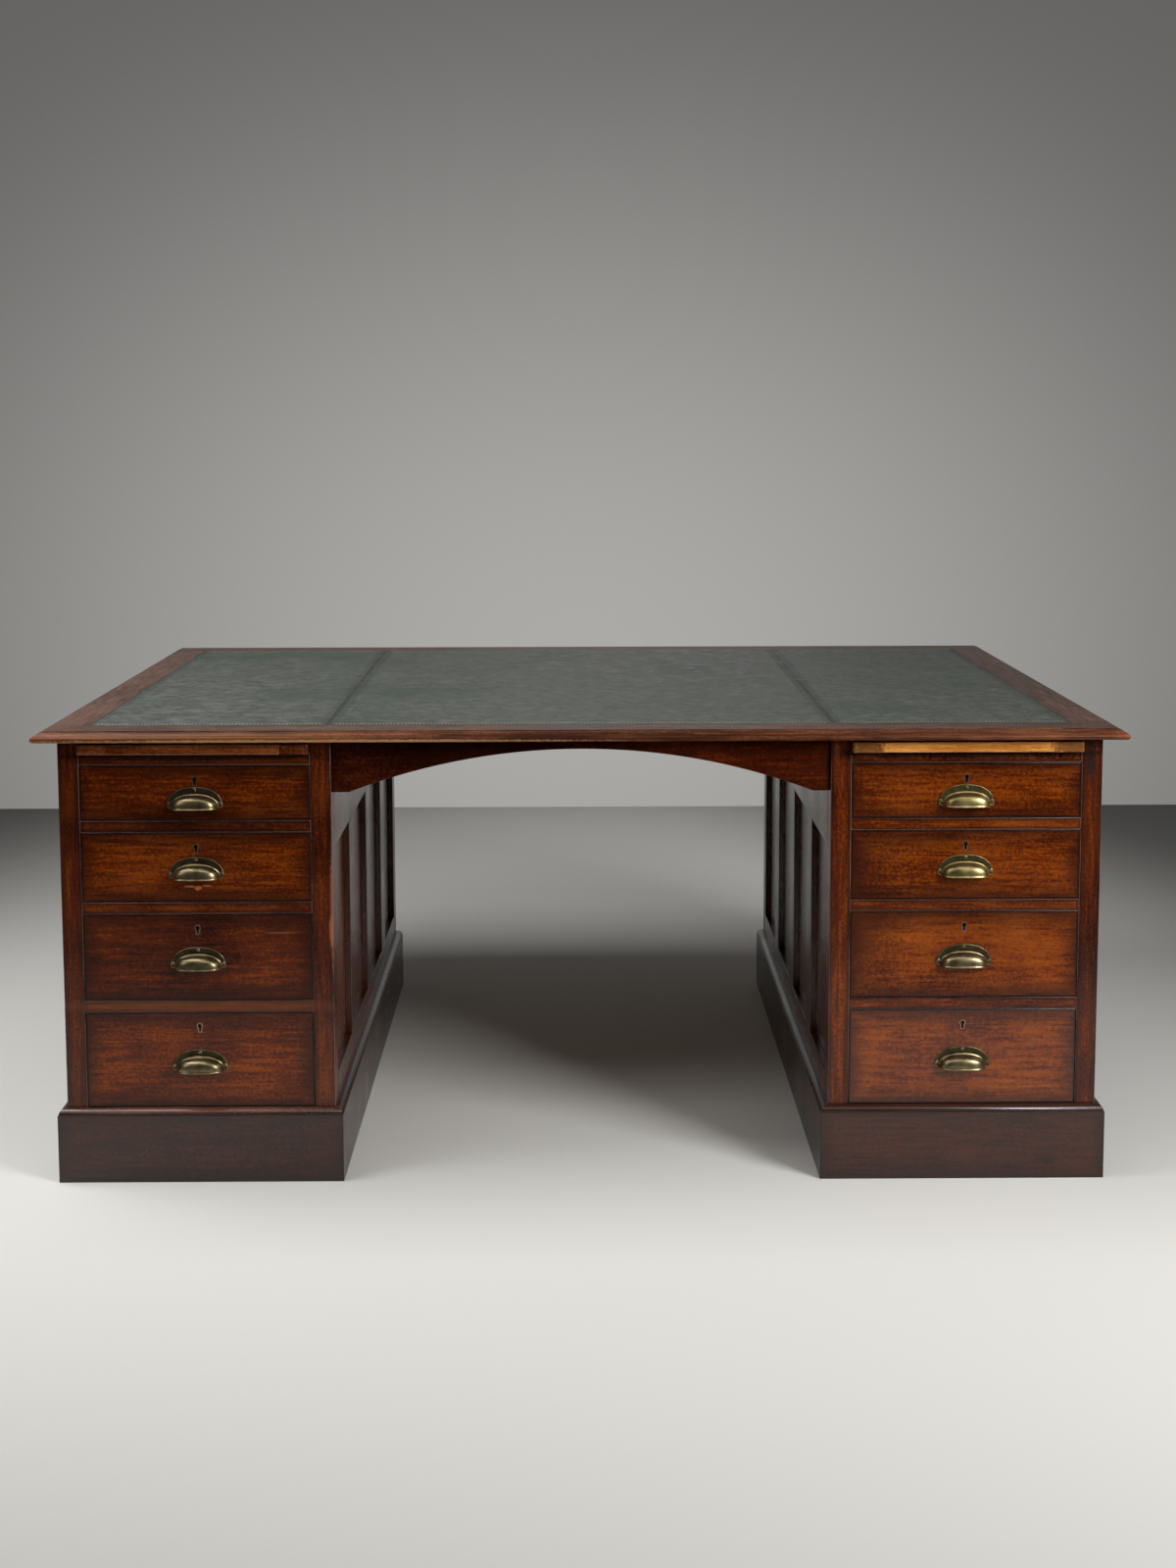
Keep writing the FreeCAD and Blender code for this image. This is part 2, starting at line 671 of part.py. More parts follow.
def hood(name, arch, quarter):
    """What the front view, the plan and the end view of a cup have in common, each carried through."""
    depth = "cup_height"
    front_view = padded(name + "_front_view", "XZ_Plane", depth, arch)
    plan = padded(name + "_plan", "XY_Plane", depth, arch)
    plan.Placement.Rotation = FreeCAD.Rotation(FreeCAD.Vector(0, 0, 1), 2 * QUARTER_TURN)
    end_view = padded(name + "_end_view", "YZ_Plane", "cup_width", quarter)
    place(end_view, ("-cup_width / 2", "0", "0"))
    return shared(name, shared(name + "_upright", front_view, plan), end_view)


def cup_pull():
    """A cup pull, open below and behind: an arched plate and a round cup with a plainer hollow."""
    half_plate = "(pull_width / 2)"
    plate_radius = f"(({half_plate} ^ 2 + pull_height ^ 2) / (2 * pull_height))"
    plate_outline = [Corner(half_plate, "0", plate_radius, 1), Corner(f"-{half_plate}", "0")]
    plate = padded("pull_plate", "XZ_Plane", "pull_plate", plate_outline)
    outer = three_centred("(cup_width / 2)", "cup_height", "cup_end_radius")
    round_arch = [
        Corner(outer.half_span, "0", outer.end_radius, 1),
        Corner(outer.shoulder_x, outer.shoulder_y, outer.crown_radius, 1),
        Corner(f"-{outer.shoulder_x}", outer.shoulder_y, outer.end_radius, 1),
        Corner(f"-{outer.half_span}", "0"),
    ]
    round_quarter = [Corner("0", "0"), Corner("0", "cup_height", "cup_height", 1), Corner("-cup_height", "0")]
    # The hollow has straight sides between points of the arch that is one wall smaller
    inner_end = "(cup_end_radius - cup_wall)"
    inner = three_centred("(cup_width / 2 - cup_wall)", "(cup_height - cup_wall)", inner_end)
    plain_arch = [
        Corner(inner.half_span, "0"),
        Corner(inner.shoulder_x, inner.shoulder_y),
        Corner("0", inner.rise),
        Corner(f"-{inner.shoulder_x}", inner.shoulder_y),
        Corner(f"-{inner.half_span}", "0"),
    ]
    middle = f"{inner.rise} / sqrt(2)"
    plain_quarter = [
        Corner("0", "0"),
        Corner("0", inner.rise),
        Corner(f"-{middle}", middle),
        Corner(f"-{inner.rise}", "0"),
    ]
    cup = hood("pull_cup", round_arch, round_quarter)
    hollow = hood("pull_hollow", plain_arch, plain_quarter)
    return cut("pull", joined("pull_body", plate, cup), hollow)


def key_opening():
    """The shape of a keyhole: a round head in short straight sides over a slot, deep enough to meet the lock."""
    half_slot = "(key_slot / 2)"
    neck = f"(-sqrt(key_head ^ 2 - {half_slot} ^ 2))"
    outline = [Corner(half_slot, neck)]
    head_start = -math.pi / 3
    step = (math.pi - 2 * head_start) / KEY_HEAD_SIDES
    for number in range(1, KEY_HEAD_SIDES):
        angle = head_start + number * step
        outline.append(Corner(f"key_head * {math.cos(angle):.6f}", f"key_head * {math.sin(angle):.6f}"))
    outline += [
        Corner(f"-{half_slot}", neck),
        Corner(f"-{half_slot}", "-key_length"),
        Corner(half_slot, "-key_length"),
    ]
    return padded("key_opening", "XZ_Plane", "front_thickness - lock_depth", outline, reverse=True)


def copy_of(name, master, corner, turn=0):
    """The same shape again at another place, turned round the upright axis."""
    piece = group(name, [master])
    piece.Placement.Rotation = FreeCAD.Rotation(FreeCAD.Vector(0, 0, 1), turn)
    return place(piece, corner)


def drawer_side(name, opening, x):
    """A drawer side whose front end is cut into dovetails that lap into the drawer front."""
    height = f"({opening.top} - side_drop - {opening.bottom} - runner_play)"
    length = "(drawer_depth - front_thickness + tail_length)"
    count = max(FEWEST_TAILS, round(worth(height) / worth("tail_pitch")))
    outline = [
        Corner("tail_length", "0"),
        Corner(length, "0"),
        Corner(length, height),
        Corner("tail_length", height),
    ]
    for number in range(count - 1, -1, -1):
        middle = f"(2 * {number} + 1) * {height} / (2 * {count})"
        root = "(tail_width / 2 - tail_flare)"
        outline += [
            Corner("tail_length", f"{middle} + {root}"),
            Corner("0", f"{middle} + tail_width / 2"),
            Corner("0", f"{middle} - tail_width / 2"),
            Corner("tail_length", f"{middle} - {root}"),
        ]
    side = padded(name, "YZ_Plane", "side_thickness", outline)
    return place(side, (x, f"{FRONT} + front_thickness - tail_length", f"{opening.bottom} + runner_play"))


def drawer(pedestal, number, opening):
    """A drawer: front, dovetailed box, and its brass pull and lock."""
    stem = f"{pedestal}_drawer_{number}"
    left = from_face(pedestal, -1, "post_width + drawer_play", "0")
    width = f"({OPENING_WIDTH} - 2 * drawer_play)"
    low = f"({opening.bottom} + runner_play)"
    side_top = f"({opening.top} - side_drop)"
    behind_front = f"({FRONT} + front_thickness)"
    box_depth = "(drawer_depth - front_thickness)"
    inside = f"{left} + side_thickness"
    inner_width = f"({width} - 2 * side_thickness)"
    left_side = drawer_side(stem + "_left_side", opening, left)
    right_side = drawer_side(stem + "_right_side", opening, f"{left} + {width} - side_thickness")
    bottom_low = f"({low} + slip_height)"
    back_low = f"({bottom_low} + bottom_thickness)"
    slip_size = ("slip_width", box_depth, "slip_height")
    box = group(stem + "_box", [
        left_side,
        right_side,
        board(stem + "_back", (inside, f"{FRONT} + drawer_depth - side_thickness", back_low),
              (inner_width, "side_thickness", f"{side_top} - back_drop - {back_low}")),
        board(stem + "_bottom", (inside, behind_front, bottom_low),
              (inner_width, box_depth, "bottom_thickness")),
        board(stem + "_left_slip", (inside, behind_front, low), slip_size),
        board(stem + "_right_slip", (f"{inside} + {inner_width} - slip_width", behind_front, low), slip_size),
    ])
    front_top = f"({opening.top} - drawer_play)"
    front_low = f"({opening.bottom} + drawer_play)"
    blank_size = (width, "front_thickness", f"{front_top} - {front_low}")
    blank = board(stem + "_blank", (left, FRONT, front_low), blank_size)
    key_z = f"({opening.top} - key_drop)"
    hole = copy_of(stem + "_keyhole", KEY_OPENING, (CENTRE[pedestal], FRONT, key_z))
    lock_low = f"({key_z} - lock_below_key)"
    lock_corner = (f"{CENTRE[pedestal]} - lock_width / 2", f"{behind_front} - lock_depth", lock_low)
    lock = board(stem + "_lock", lock_corner, ("lock_width", "lock_depth", f"{front_top} - {lock_low}"))
    front = cut(stem + "_front", blank, left_side, right_side, hole, lock)
    pull_low = f"({opening.top} + {opening.bottom}) / 2 - pull_height / 2 - {opening.pull_drop}"
    pull = copy_of(stem + "_pull", CUP_PULL, (CENTRE[pedestal], FRONT, pull_low))
    return {
        stem + "_front": front,
        stem + "_box": box,
        stem + "_fittings": group(stem + "_fittings", [pull, lock]),
    }


def from_post(pedestal, start, width):
    """Low X of something that lies a way from the outer rear post towards the door."""
    return from_face(pedestal, outer_side(pedestal), f"post_width + {start}", width)


def hinge(pedestal, name, low):
    """A lift-off butt hinge: the post's leaf carries the pin, and the door's leaf drops over it."""
    half = "(hinge_length / 2)"
    fixed_x = from_post(pedestal, "door_play / 2 - leaf_gap / 2 - leaf_thickness", "leaf_thickness")
    moving_x = from_post(pedestal, "door_play / 2 + leaf_gap / 2", "leaf_thickness")
    axis_x = from_post(pedestal, "door_play / 2", "0")
    axis_y = f"{BACK} + knuckle_stand"
    halves = {"fixed": (fixed_x, low), "moving": (moving_x, f"{low} + {half}")}
    leaf_size = ("leaf_thickness", "leaf_width", "hinge_length")
    tab_size = ("leaf_thickness", "leaf_width / 2 + knuckle_stand", f"{half} - knuckle_gap")
    bodies = {}
    for kind, (x, foot) in halves.items():
        leaf = board(f"{name}_{kind}_leaf", (x, f"{BACK} - leaf_width", low), leaf_size)
        tab = board(f"{name}_{kind}_tab", (x, f"{BACK} - leaf_width / 2", foot), tab_size)
        knuckle_foot = (axis_x, axis_y, foot)
        knuckle = rod(f"{name}_{kind}_knuckle", knuckle_foot, "knuckle_radius", f"{half} - knuckle_gap")
        bodies[kind] = (leaf, tab, knuckle)
    pin = rod(f"{name}_pin", (axis_x, axis_y, low), "pin_radius", f"{half} + pin_length")
    bore_height = f"{half} + pin_length + knuckle_gap"
    bore = rod(f"{name}_bore", (axis_x, axis_y, low), "pin_radius + pin_play", bore_height)
    fixed = joined(f"{name}_fixed", *bodies["fixed"], pin)
    moving = cut(f"{name}_moving", joined(f"{name}_moving_body", *bodies["moving"]), bore)
    return fixed, moving


def door_pieces(pedestal):
    """The cupboard door of a pedestal, hung on its outer rear post, and both halves of its hinges."""
    stem = f"{pedestal}_door"
    width = f"({OPENING_WIDTH} - 2 * door_play)"
    left = from_face(pedestal, -1, "post_width + door_play", "0")
    inner = f"({BACK} - door_thickness)"
    recess = f"({BACK} - panel_recess - panel_thickness)"
    rail_width = f"({width} - 2 * door_stile)"
    stile_height = f"({DOOR_TOP} - {DOOR_BOTTOM})"
    leaves = [hinge(pedestal, f"{stem}_lower_hinge", f"({DOOR_BOTTOM} + hinge_inset)"),
              hinge(pedestal, f"{stem}_upper_hinge", f"({DOOR_TOP} - hinge_inset - hinge_length)")]
    fixed = group(f"{pedestal}_post_hinge_leaves", [pair[0] for pair in leaves])
    moving = group(f"{stem}_hinge_leaves", [pair[1] for pair in leaves])
    # The lock is let into the stile away from the hinges, from its edge inwards
    lock_side = -outer_side(pedestal)
    key_x = from_face(pedestal, lock_side, "post_width + door_play + door_lock_width / 2", "0")
    hole = copy_of(stem + "_keyhole", KEY_OPENING, (key_x, BACK, "door_key_height"), 2 * QUARTER_TURN)
    lock_x = from_face(pedestal, lock_side, "post_width + door_play", "door_lock_width")
    lock_depth = "(door_thickness - front_thickness + lock_depth)"
    lock_size = ("door_lock_width", lock_depth, "lock_width")
    lock = board(stem + "_lock", (lock_x, inner, "door_key_height - lock_width / 2"), lock_size)
    frame = []
    for side in (-1, 1):
        name = f"{stem}_stile_{side + 1}"
        hung = side == outer_side(pedestal)
        x = from_face(pedestal, side, "post_width + door_play", "door_stile")
        groove_start = "post_width + door_play + door_stile - groove_depth"
        groove_x = from_face(pedestal, side, groove_start, "groove_depth")
        blank_size = ("door_stile", "door_thickness", stile_height)
        blank = board(name + "_blank", (x, inner, DOOR_BOTTOM), blank_size)
        groove_size = ("groove_depth", "panel_thickness", stile_height)
        groove = board(name + "_groove", (groove_x, recess, DOOR_BOTTOM), groove_size)
        fittings = [moving] if hung else [hole, lock]
        frame.append(cut(name, blank, groove, *fittings))
    between_stiles = f"{left} + door_stile"
    head_low = f"({DOOR_TOP} - door_rail)"
    rails = {
        "foot": (DOOR_BOTTOM, f"({DOOR_BOTTOM} + door_rail - groove_depth)", DOOR_BOTTOM),
        "head": (head_low, head_low, f"({head_low} + groove_depth)"),
    }
    for name, (low, groove_low, tenon_low) in rails.items():
        name = f"{stem}_{name}_rail"
        blank_size = (rail_width, "door_thickness", "door_rail")
        blank = board(name + "_blank", (between_stiles, inner, low), blank_size)
        tenon_size = (f"{rail_width} + 2 * {TONGUE}", "panel_thickness", "door_rail - groove_depth")
        tenons = board(name + "_tenons", (f"{between_stiles} - {TONGUE}", recess, tenon_low), tenon_size)
        groove_size = (rail_width, "panel_thickness", "groove_depth")
        groove = board(name + "_groove", (between_stiles, recess, groove_low), groove_size)
        frame.append(cut(name, joined(name + "_body", blank, tenons), groove))
    panel_corner = (f"{between_stiles} - {TONGUE}", recess, f"{DOOR_BOTTOM} + door_rail - {TONGUE}")
    panel_size = (f"{rail_width} + 2 * {TONGUE}", "panel_thickness",
                  f"{stile_height} - 2 * door_rail + 2 * {TONGUE}")
    return {
        stem + "_frame": group(stem + "_frame", frame),
        stem + "_panel": board(stem + "_panel", panel_corner, panel_size),
        stem + "_lock": lock,
        stem + "_hinge_leaves": moving,
        f"{pedestal}_post_hinge_leaves": fixed,
    }


def pedestal_pieces(pedestal):
    """Everything that one pedestal is made of."""
    pieces = door_pieces(pedestal)
    posts = corner_posts(pedestal, pieces[f"{pedestal}_post_hinge_leaves"])
    pieces[f"{pedestal}_corner_posts"] = posts
    pieces.update(side_pieces(pedestal))
    pieces[f"{pedestal}_cross_rails"] = cross_rails(pedestal)
    pieces[f"{pedestal}_runners"] = runners(pedestal)
    pieces[f"{pedestal}_inner_boards"] = inner_boards(pedestal)
    pieces[f"{pedestal}_plinth"] = plinth(pedestal)
    pieces[f"{pedestal}_slide"] = writing_slide(pedestal)
    for number, opening in enumerate(OPENINGS, start=1):
        pieces.update(drawer(pedestal, number, opening))
    return pieces


def check_document():
    """Stops on any object that failed to build."""
    failed = [piece.Name for piece in doc.Objects if {"Invalid", "Error"} & set(piece.State)]
    if failed:
        raise RuntimeError("not built: " + ", ".join(failed))


def write_steps(pieces):
    """Checks each piece's shape and writes it."""
    for name, piece in pieces.items():
        piece.Label = name
        if piece.Shape.isNull() or not piece.Shape.isValid() or not piece.Shape.Solids:
            raise RuntimeError("bad shape: " + name)
    os.makedirs("parts", exist_ok=True)
    for name, piece in pieces.items():
        piece.Shape.exportStep(f"parts/{name}.step")


CUP_PULL = cup_pull()
KEY_OPENING = key_opening()
desk = {}
desk.update(top_pieces())
desk.update(apron_pieces())
for one_pedestal in PEDESTALS:
    desk.update(pedestal_pieces(one_pedestal))
doc.recompute()
check_document()
write_steps(desk)
print(f"{len(desk)} pieces, {sum(len(piece.Shape.Solids) for piece in desk.values())} solids")
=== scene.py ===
"""Looks of a twin-pedestal partners desk in polished mahogany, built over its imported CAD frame.

Sizes are in metres. The desk stands on z = 0 with its drawers towards -Y. The boards are copies of the CAD
boards with their arrises rounded and their grain laid along each board. The leather tooling, cup pulls,
keyhole rims and screws are made here.
"""

import logging
import math
import random
from collections.abc import Callable, Sequence
from dataclasses import dataclass, field
from enum import Enum

import bmesh
import bpy
from bmesh.types import BMesh, BMFace
from bpy.types import ID, Material, NodeSocket, NodeTree, Object
from mathutils import Euler, Matrix, Vector


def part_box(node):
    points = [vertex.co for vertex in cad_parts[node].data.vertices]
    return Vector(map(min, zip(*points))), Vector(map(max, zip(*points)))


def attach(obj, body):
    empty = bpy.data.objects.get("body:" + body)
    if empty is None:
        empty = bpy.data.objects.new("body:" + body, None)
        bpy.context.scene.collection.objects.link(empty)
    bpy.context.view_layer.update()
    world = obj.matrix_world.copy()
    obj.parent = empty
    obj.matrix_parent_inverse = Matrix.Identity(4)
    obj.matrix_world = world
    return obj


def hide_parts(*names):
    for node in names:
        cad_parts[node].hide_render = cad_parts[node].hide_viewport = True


LOG = logging.getLogger("desk")
MM = 0.001
# The mix node's outputs share one name, so the colour goes by number.
COLOUR_OUT = 2
# Bends below the first are flat, bends above the second are arrises, and those between are smooth curves.
FLAT_BEND = math.radians(0.6)
SHARP_BEND = math.radians(25)
# Points that agree to a micrometre are one point.
POINT_GRID = 1e6
# Boards of one piece differ in warmth by up to this much either way.
WARMTH_SPREAD = 0.12
LOWEST_DRAWER = 4
HANDLED_DRAWERS = (1, 2)
# Height of each drawer's pull at its foot and of its keyhole, from the top drawer down.
PULL_LOWS = (646.25 * MM, 526.25 * MM, 371 * MM, 192.75 * MM)
KEY_HEIGHTS = (695 * MM, 580 * MM, 440 * MM, 269.5 * MM)
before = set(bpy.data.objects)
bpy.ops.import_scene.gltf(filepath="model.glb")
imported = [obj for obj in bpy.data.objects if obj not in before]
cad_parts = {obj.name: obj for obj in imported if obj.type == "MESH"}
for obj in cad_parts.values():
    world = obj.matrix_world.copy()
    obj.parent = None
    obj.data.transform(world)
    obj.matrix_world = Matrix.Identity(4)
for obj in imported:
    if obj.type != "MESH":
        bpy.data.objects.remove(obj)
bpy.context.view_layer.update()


class Side(Enum):
    """The two pedestals, as seen from the front."""

    LEFT = "left"
    RIGHT = "right"

    @property
    def sign(self) -> int:
        """Give the side's direction along x."""
        return -1 if self is Side.LEFT else 1


class Slot(Enum):
    """The record's material slots."""

    MAHOGANY = "mahogany"
    OAK = "drawer_oak"
    PINE = "carcass_pine"
    LEATHER = "green_leather"
    BRASS = "aged_brass"


def linear(code: str) -> tuple[float, float, float, float]:
    """Turn a screen colour into the light values that shaders use.

    Args:
        code: Six hex digits after a hash sign.

    Returns:
        Red, green, blue and alpha in linear light.
    """
    values = []
    for start in (1, 3, 5):
        share = int(code[start : start + 2], 16) / 255
        values.append(share / 12.92 if share <= 0.04045 else ((share + 0.055) / 1.055) ** 2.4)
    return values[0], values[1], values[2], 1.0


def per_metre(millimetres: float) -> float:
    """Give the scale of a pattern whose features are that many millimetres apart."""
    return 1000.0 / millimetres


@dataclass
class Recipe:
    """A material while its nodes are laid out."""

    material: Material

    @classmethod
    def start(cls, name: str) -> "Recipe":
        """Make an empty material.

        Args:
            name: What the material is and how it was made.

        Returns:
            The recipe, with no nodes yet.
        """
        material = bpy.data.materials.new(name)
        material.use_nodes = True
        material.node_tree.nodes.clear()
        return cls(material)

    def add(self, kind: str, links: dict, out: int | str = 0, **settings: object) -> NodeSocket:
        """Add a node, set it and join it to the nodes before it.

        Args:
            kind: The node's type.
            links: Value or socket for each input, by the input's name or number.
            out: Name or number of the output to hand back.
            **settings: The node's own properties.

        Returns:
            The chosen output.
        """
        node = self.material.node_tree.nodes.new(kind)
        for name, value in settings.items():
            setattr(node, name, value)
        for key, value in links.items():
            if isinstance(value, NodeSocket):
                self.material.node_tree.links.new(value, node.inputs[key])
            else:
                node.inputs[key].default_value = value
        return node.outputs[out] if node.outputs else None

    def paint(self, base: object, layers: Sequence[tuple]) -> NodeSocket:
        """Lay colours over one another.

        Args:
            base: The lowest colour, as light values or a socket.
            layers: Share and colour of each layer above it, in order; a colour is a hex code or a socket.

        Returns:
            The colour on top.
        """
        for share, colour in layers:
            over = linear(colour) if isinstance(colour, str) else colour
            base = self.add("ShaderNodeMix", {0: share, 6: base, 7: over}, COLOUR_OUT, data_type="RGBA")
        return base

    def figure_place(self) -> NodeSocket:
        """Find a point's place along its board, moved so that no two boards share a figure.

        Returns:
            The place, with the first axis along the grain.
        """
        board = self.add("ShaderNodeAttribute", {}, "Vector", attribute_name="board")
        seed = self.add("ShaderNodeSeparateXYZ", {0: board})
        shift = self.add("ShaderNodeVectorMath", {0: (37.0, 11.0, 5.0), "Scale": seed}, operation="SCALE")
        grain = self.add("ShaderNodeAttribute", {}, "Vector", attribute_name="grain")
        return self.add("ShaderNodeVectorMath", {0: grain, 1: shift}, operation="ADD")

    def side_distances(self) -> list[NodeSocket]:
        """Measure a point's distance to its board's sides.

        Returns:
            The distances along the grain, across it and through the board.
        """
        grain = self.add("ShaderNodeAttribute", {}, "Vector", attribute_name="grain")
        half = self.add("ShaderNodeAttribute", {}, "Vector", attribute_name="half")
        away = self.add("ShaderNodeVectorMath", {0: grain}, operation="ABSOLUTE")
        left = self.add("ShaderNodeVectorMath", {0: half, 1: away}, operation="SUBTRACT")
        return list(self.add("ShaderNodeSeparateXYZ", {0: left}).node.outputs)

    def from_middle(self, where: NodeSocket, middle: tuple, reach: tuple) -> NodeSocket:
        """Measure how far out in an ellipsoid a point lies.

        Args:
            where: The point.
            middle: The ellipsoid's middle.
            reach: Its three half widths.

        Returns:
            The distance, 1 at the ellipsoid's skin.
        """
        offset = self.add("ShaderNodeVectorMath", {0: where, 1: middle}, operation="SUBTRACT")
        scaled = self.add("ShaderNodeVectorMath", {0: offset, 1: reach}, operation="DIVIDE")
        return self.add("ShaderNodeVectorMath", {0: scaled}, "Value", operation="LENGTH")


@dataclass(frozen=True)
class Mark:
    """A stain, scuff, chip, painted shadow or painted highlight at one place, as an ellipsoid in the frame.
    """

    centre: tuple[float, float, float]
    reach: tuple[float, float, float]
    colour: str
    strength: float
    soft: float = 0.75
    # Weight of the noise in the mark's rim, and where the rim lies once the noise is added.
    ragged: float = 1.2
    rim: float = 1.43

    def cover(self, recipe: Recipe, where: NodeSocket, speckle: NodeSocket) -> NodeSocket:
        """Work out how much of the wood the mark hides.

        Args:
            recipe: The wood's recipe.
            where: The point in the frame.
            speckle: Noise that breaks up the mark's rim.

        Returns:
            The share hidden.
        """
        length = recipe.from_middle(where, self.centre, self.reach)
        rim = {0: speckle, 1: self.ragged, 2: length}
        broken = recipe.add("ShaderNodeMath", rim, operation="MULTIPLY_ADD")
        start = self.rim + self.soft / 2
        end = start - self.soft
        return recipe.add("ShaderNodeMapRange", {0: broken, 1: start, 2: end, 4: self.strength})


@dataclass(frozen=True)
class Polish:
    """Old french-polished mahogany.

    The eye sees a deep red brown with a warm ribbon along the board, dark wax held at the board's edges, fine
    dark pores and arrises rubbed through to pale wood.
    """

    name: str
    deep: str = "#230a03"
    body: str = "#6a2803"
    flame: str = "#9a4c06"
    pale_arris: str = "#8d5f4c"
    side: str = ""
    side_light: str = ""
    # Colour of the dark line along each edge: partly grime in the joint and partly painted shade in the gap
    # between parts.
    dirt: str = "#0c0302"
    edge_dark: float = 0.65
    grime_and_gap_shade: float = 0.6
    rub: float = 0.45
    gloss: float = 0.28
    shine: float = 0.35
    marks: tuple[Mark, ...] = ()

    def make(self) -> Material:
        """Lay out the finish.

        Returns:
            The material.
        """
        recipe = Recipe.start(self.name)
        add = recipe.add
        arris = add("ShaderNodeAttribute", {}, "Fac", attribute_name="arris")
        reach = add("ShaderNodeAttribute", {}, "Fac", attribute_name="reach")
        board = add("ShaderNodeAttribute", {}, "Vector", attribute_name="board")
        _, warmth, shade = add("ShaderNodeSeparateXYZ", {0: board}).node.outputs
        place = recipe.figure_place()
        # The figure is drawn out along the board about six times as long as it is wide.
        drawn = add("ShaderNodeVectorMath", {0: place, 1: (0.16, 1.0, 1.0)}, operation="MULTIPLY")
        figure = add(
            "ShaderNodeTexNoise",
            {"Vector": drawn, "Scale": per_metre(38), "Detail": 5.0, "Roughness": 0.6, "Distortion": 0.5},
        )
        combed = add("ShaderNodeVectorMath", {0: place, 1: (0.07, 1.0, 1.0)}, operation="MULTIPLY")
        ribbon = add(
            "ShaderNodeTexNoise", {"Vector": combed, "Scale": per_metre(6), "Detail": 5.0, "Roughness": 0.7}
        )
        # Pores are about a third of a millimetre wide, drawn coarser so that they show.
        dashed = add("ShaderNodeVectorMath", {0: place, 1: (0.1, 1.0, 1.0)}, operation="MULTIPLY")
        pore = add("ShaderNodeTexNoise", {"Vector": dashed, "Scale": per_metre(1.1), "Detail": 2.0})
        cloud = add("ShaderNodeTexNoise", {"Vector": place, "Scale": per_metre(130), "Detail": 2.0})
        speckle = add("ShaderNodeTexNoise", {"Vector": place, "Scale": per_metre(5), "Detail": 3.0})
        # The board's light and dark come from all of these, moved up by its warmth.
        warmed = add("ShaderNodeMath", {0: cloud, 1: 0.55, 2: -0.325}, operation="MULTIPLY_ADD")
        for pattern, weight in ((figure, 0.45), (ribbon, 1.2), (speckle, 0.7), (warmth, 0.6)):
            warmed = add("ShaderNodeMath", {0: pattern, 1: weight, 2: warmed}, operation="MULTIPLY_ADD")
        low = add("ShaderNodeMapRange", {0: warmed, 1: 0.95, 2: 1.5})
        high = add("ShaderNodeMapRange", {0: warmed, 1: 1.32, 2: 1.87})
        # The middle of the three distances to the board's sides is the distance to its nearest arris.
        along, across, through = recipe.side_distances()
        near = add("ShaderNodeMath", {0: along, 1: across}, operation="MINIMUM")
        far = add("ShaderNodeMath", {0: along, 1: across}, operation="MAXIMUM")
        third = add("ShaderNodeMath", {0: far, 1: through}, operation="MINIMUM")
        edge = add("ShaderNodeMath", {0: near, 1: third}, operation="MAXIMUM")
        inward = add("ShaderNodeMath", {0: edge, 1: reach}, operation="DIVIDE")
        ragged = add("ShaderNodeMath", {0: figure, 1: -1.4, 2: inward}, operation="MULTIPLY_ADD")
        wax = add(
            "ShaderNodeMapRange",
            {0: ragged, 1: -0.8, 2: 0.35, 3: self.edge_dark, 4: 0.0},
            interpolation_type="SMOOTHSTEP",
        )
        # Painted shade: a dark line along each edge, partly grime and partly the shade in the gap between
        # parts.
        line = add("ShaderNodeMapRange", {0: edge, 1: 1.4 * MM, 2: 3.6 * MM, 3: self.grime_and_gap_shade, 4: 0.0})
        layers = [(low, self.body), (high, self.flame), (wax, self.deep)]
        layers += [(line, self.dirt), (shade, self.deep)]
        if self.side:
            # The moulded edge keeps its colour where the flat is painted faded, on the top partly a painted
            # reflection of the wall, and hands have rubbed it lighter.
            facing = add("ShaderNodeNewGeometry", {}, "Normal")
            upward = add("ShaderNodeSeparateXYZ", {0: facing}, "Z")
            moulded = add("ShaderNodeMapRange", {0: upward, 1: 0.97, 2: 0.8})
            handled = add("ShaderNodeMath", {0: ribbon, 1: 1.4, 2: cloud}, operation="MULTIPLY_ADD")
            lighter = add("ShaderNodeMapRange", {0: handled, 1: 1.08, 2: 1.5})
            layers.append((moulded, recipe.paint(linear(self.side), [(lighter, self.side_light)])))
        pitted = add("ShaderNodeMapRange", {0: pore, 1: 0.55, 2: 0.66, 4: 0.4})
        dent = add("ShaderNodeMapRange", {0: speckle, 1: 0.27, 2: 0.24, 4: 0.6})
        # Arrises are painted pale where the polish is rubbed through, and on the slides and the top's edge
        # also as a painted highlight along the arris.
        rubs = add("ShaderNodeMath", {0: speckle, 1: 0.35, 2: figure}, operation="MULTIPLY_ADD")
        bare = add("ShaderNodeMapRange", {0: rubs, 1: 0.5, 2: 0.85, 4: self.rub})
        rubbed = add("ShaderNodeMath", {0: bare, 1: arris}, operation="MULTIPLY")
        layers += [(pitted, self.deep), (dent, self.deep), (rubbed, self.pale_arris)]
        where = add("ShaderNodeTexCoord", {}, "Object")
        layers += [(mark.cover(recipe, where, speckle), mark.colour) for mark in self.marks]
        wood = recipe.paint(linear(self.deep), layers)
        dulled = add("ShaderNodeMath", {0: cloud, 1: 0.22, 2: self.gloss - 0.11}, operation="MULTIPLY_ADD")
        rough = add("ShaderNodeMath", {0: rubbed, 1: 0.2, 2: dulled}, operation="MULTIPLY_ADD")
        bump = add("ShaderNodeBump", {"Strength": 0.12, "Distance": 0.4 * MM, "Height": pore})
        look = {"Base Color": wood, "Roughness": rough, "Normal": bump, "Specular IOR Level": self.shine}
        add("ShaderNodeOutputMaterial", {0: add("ShaderNodeBsdfPrincipled", look)})
        return recipe.material


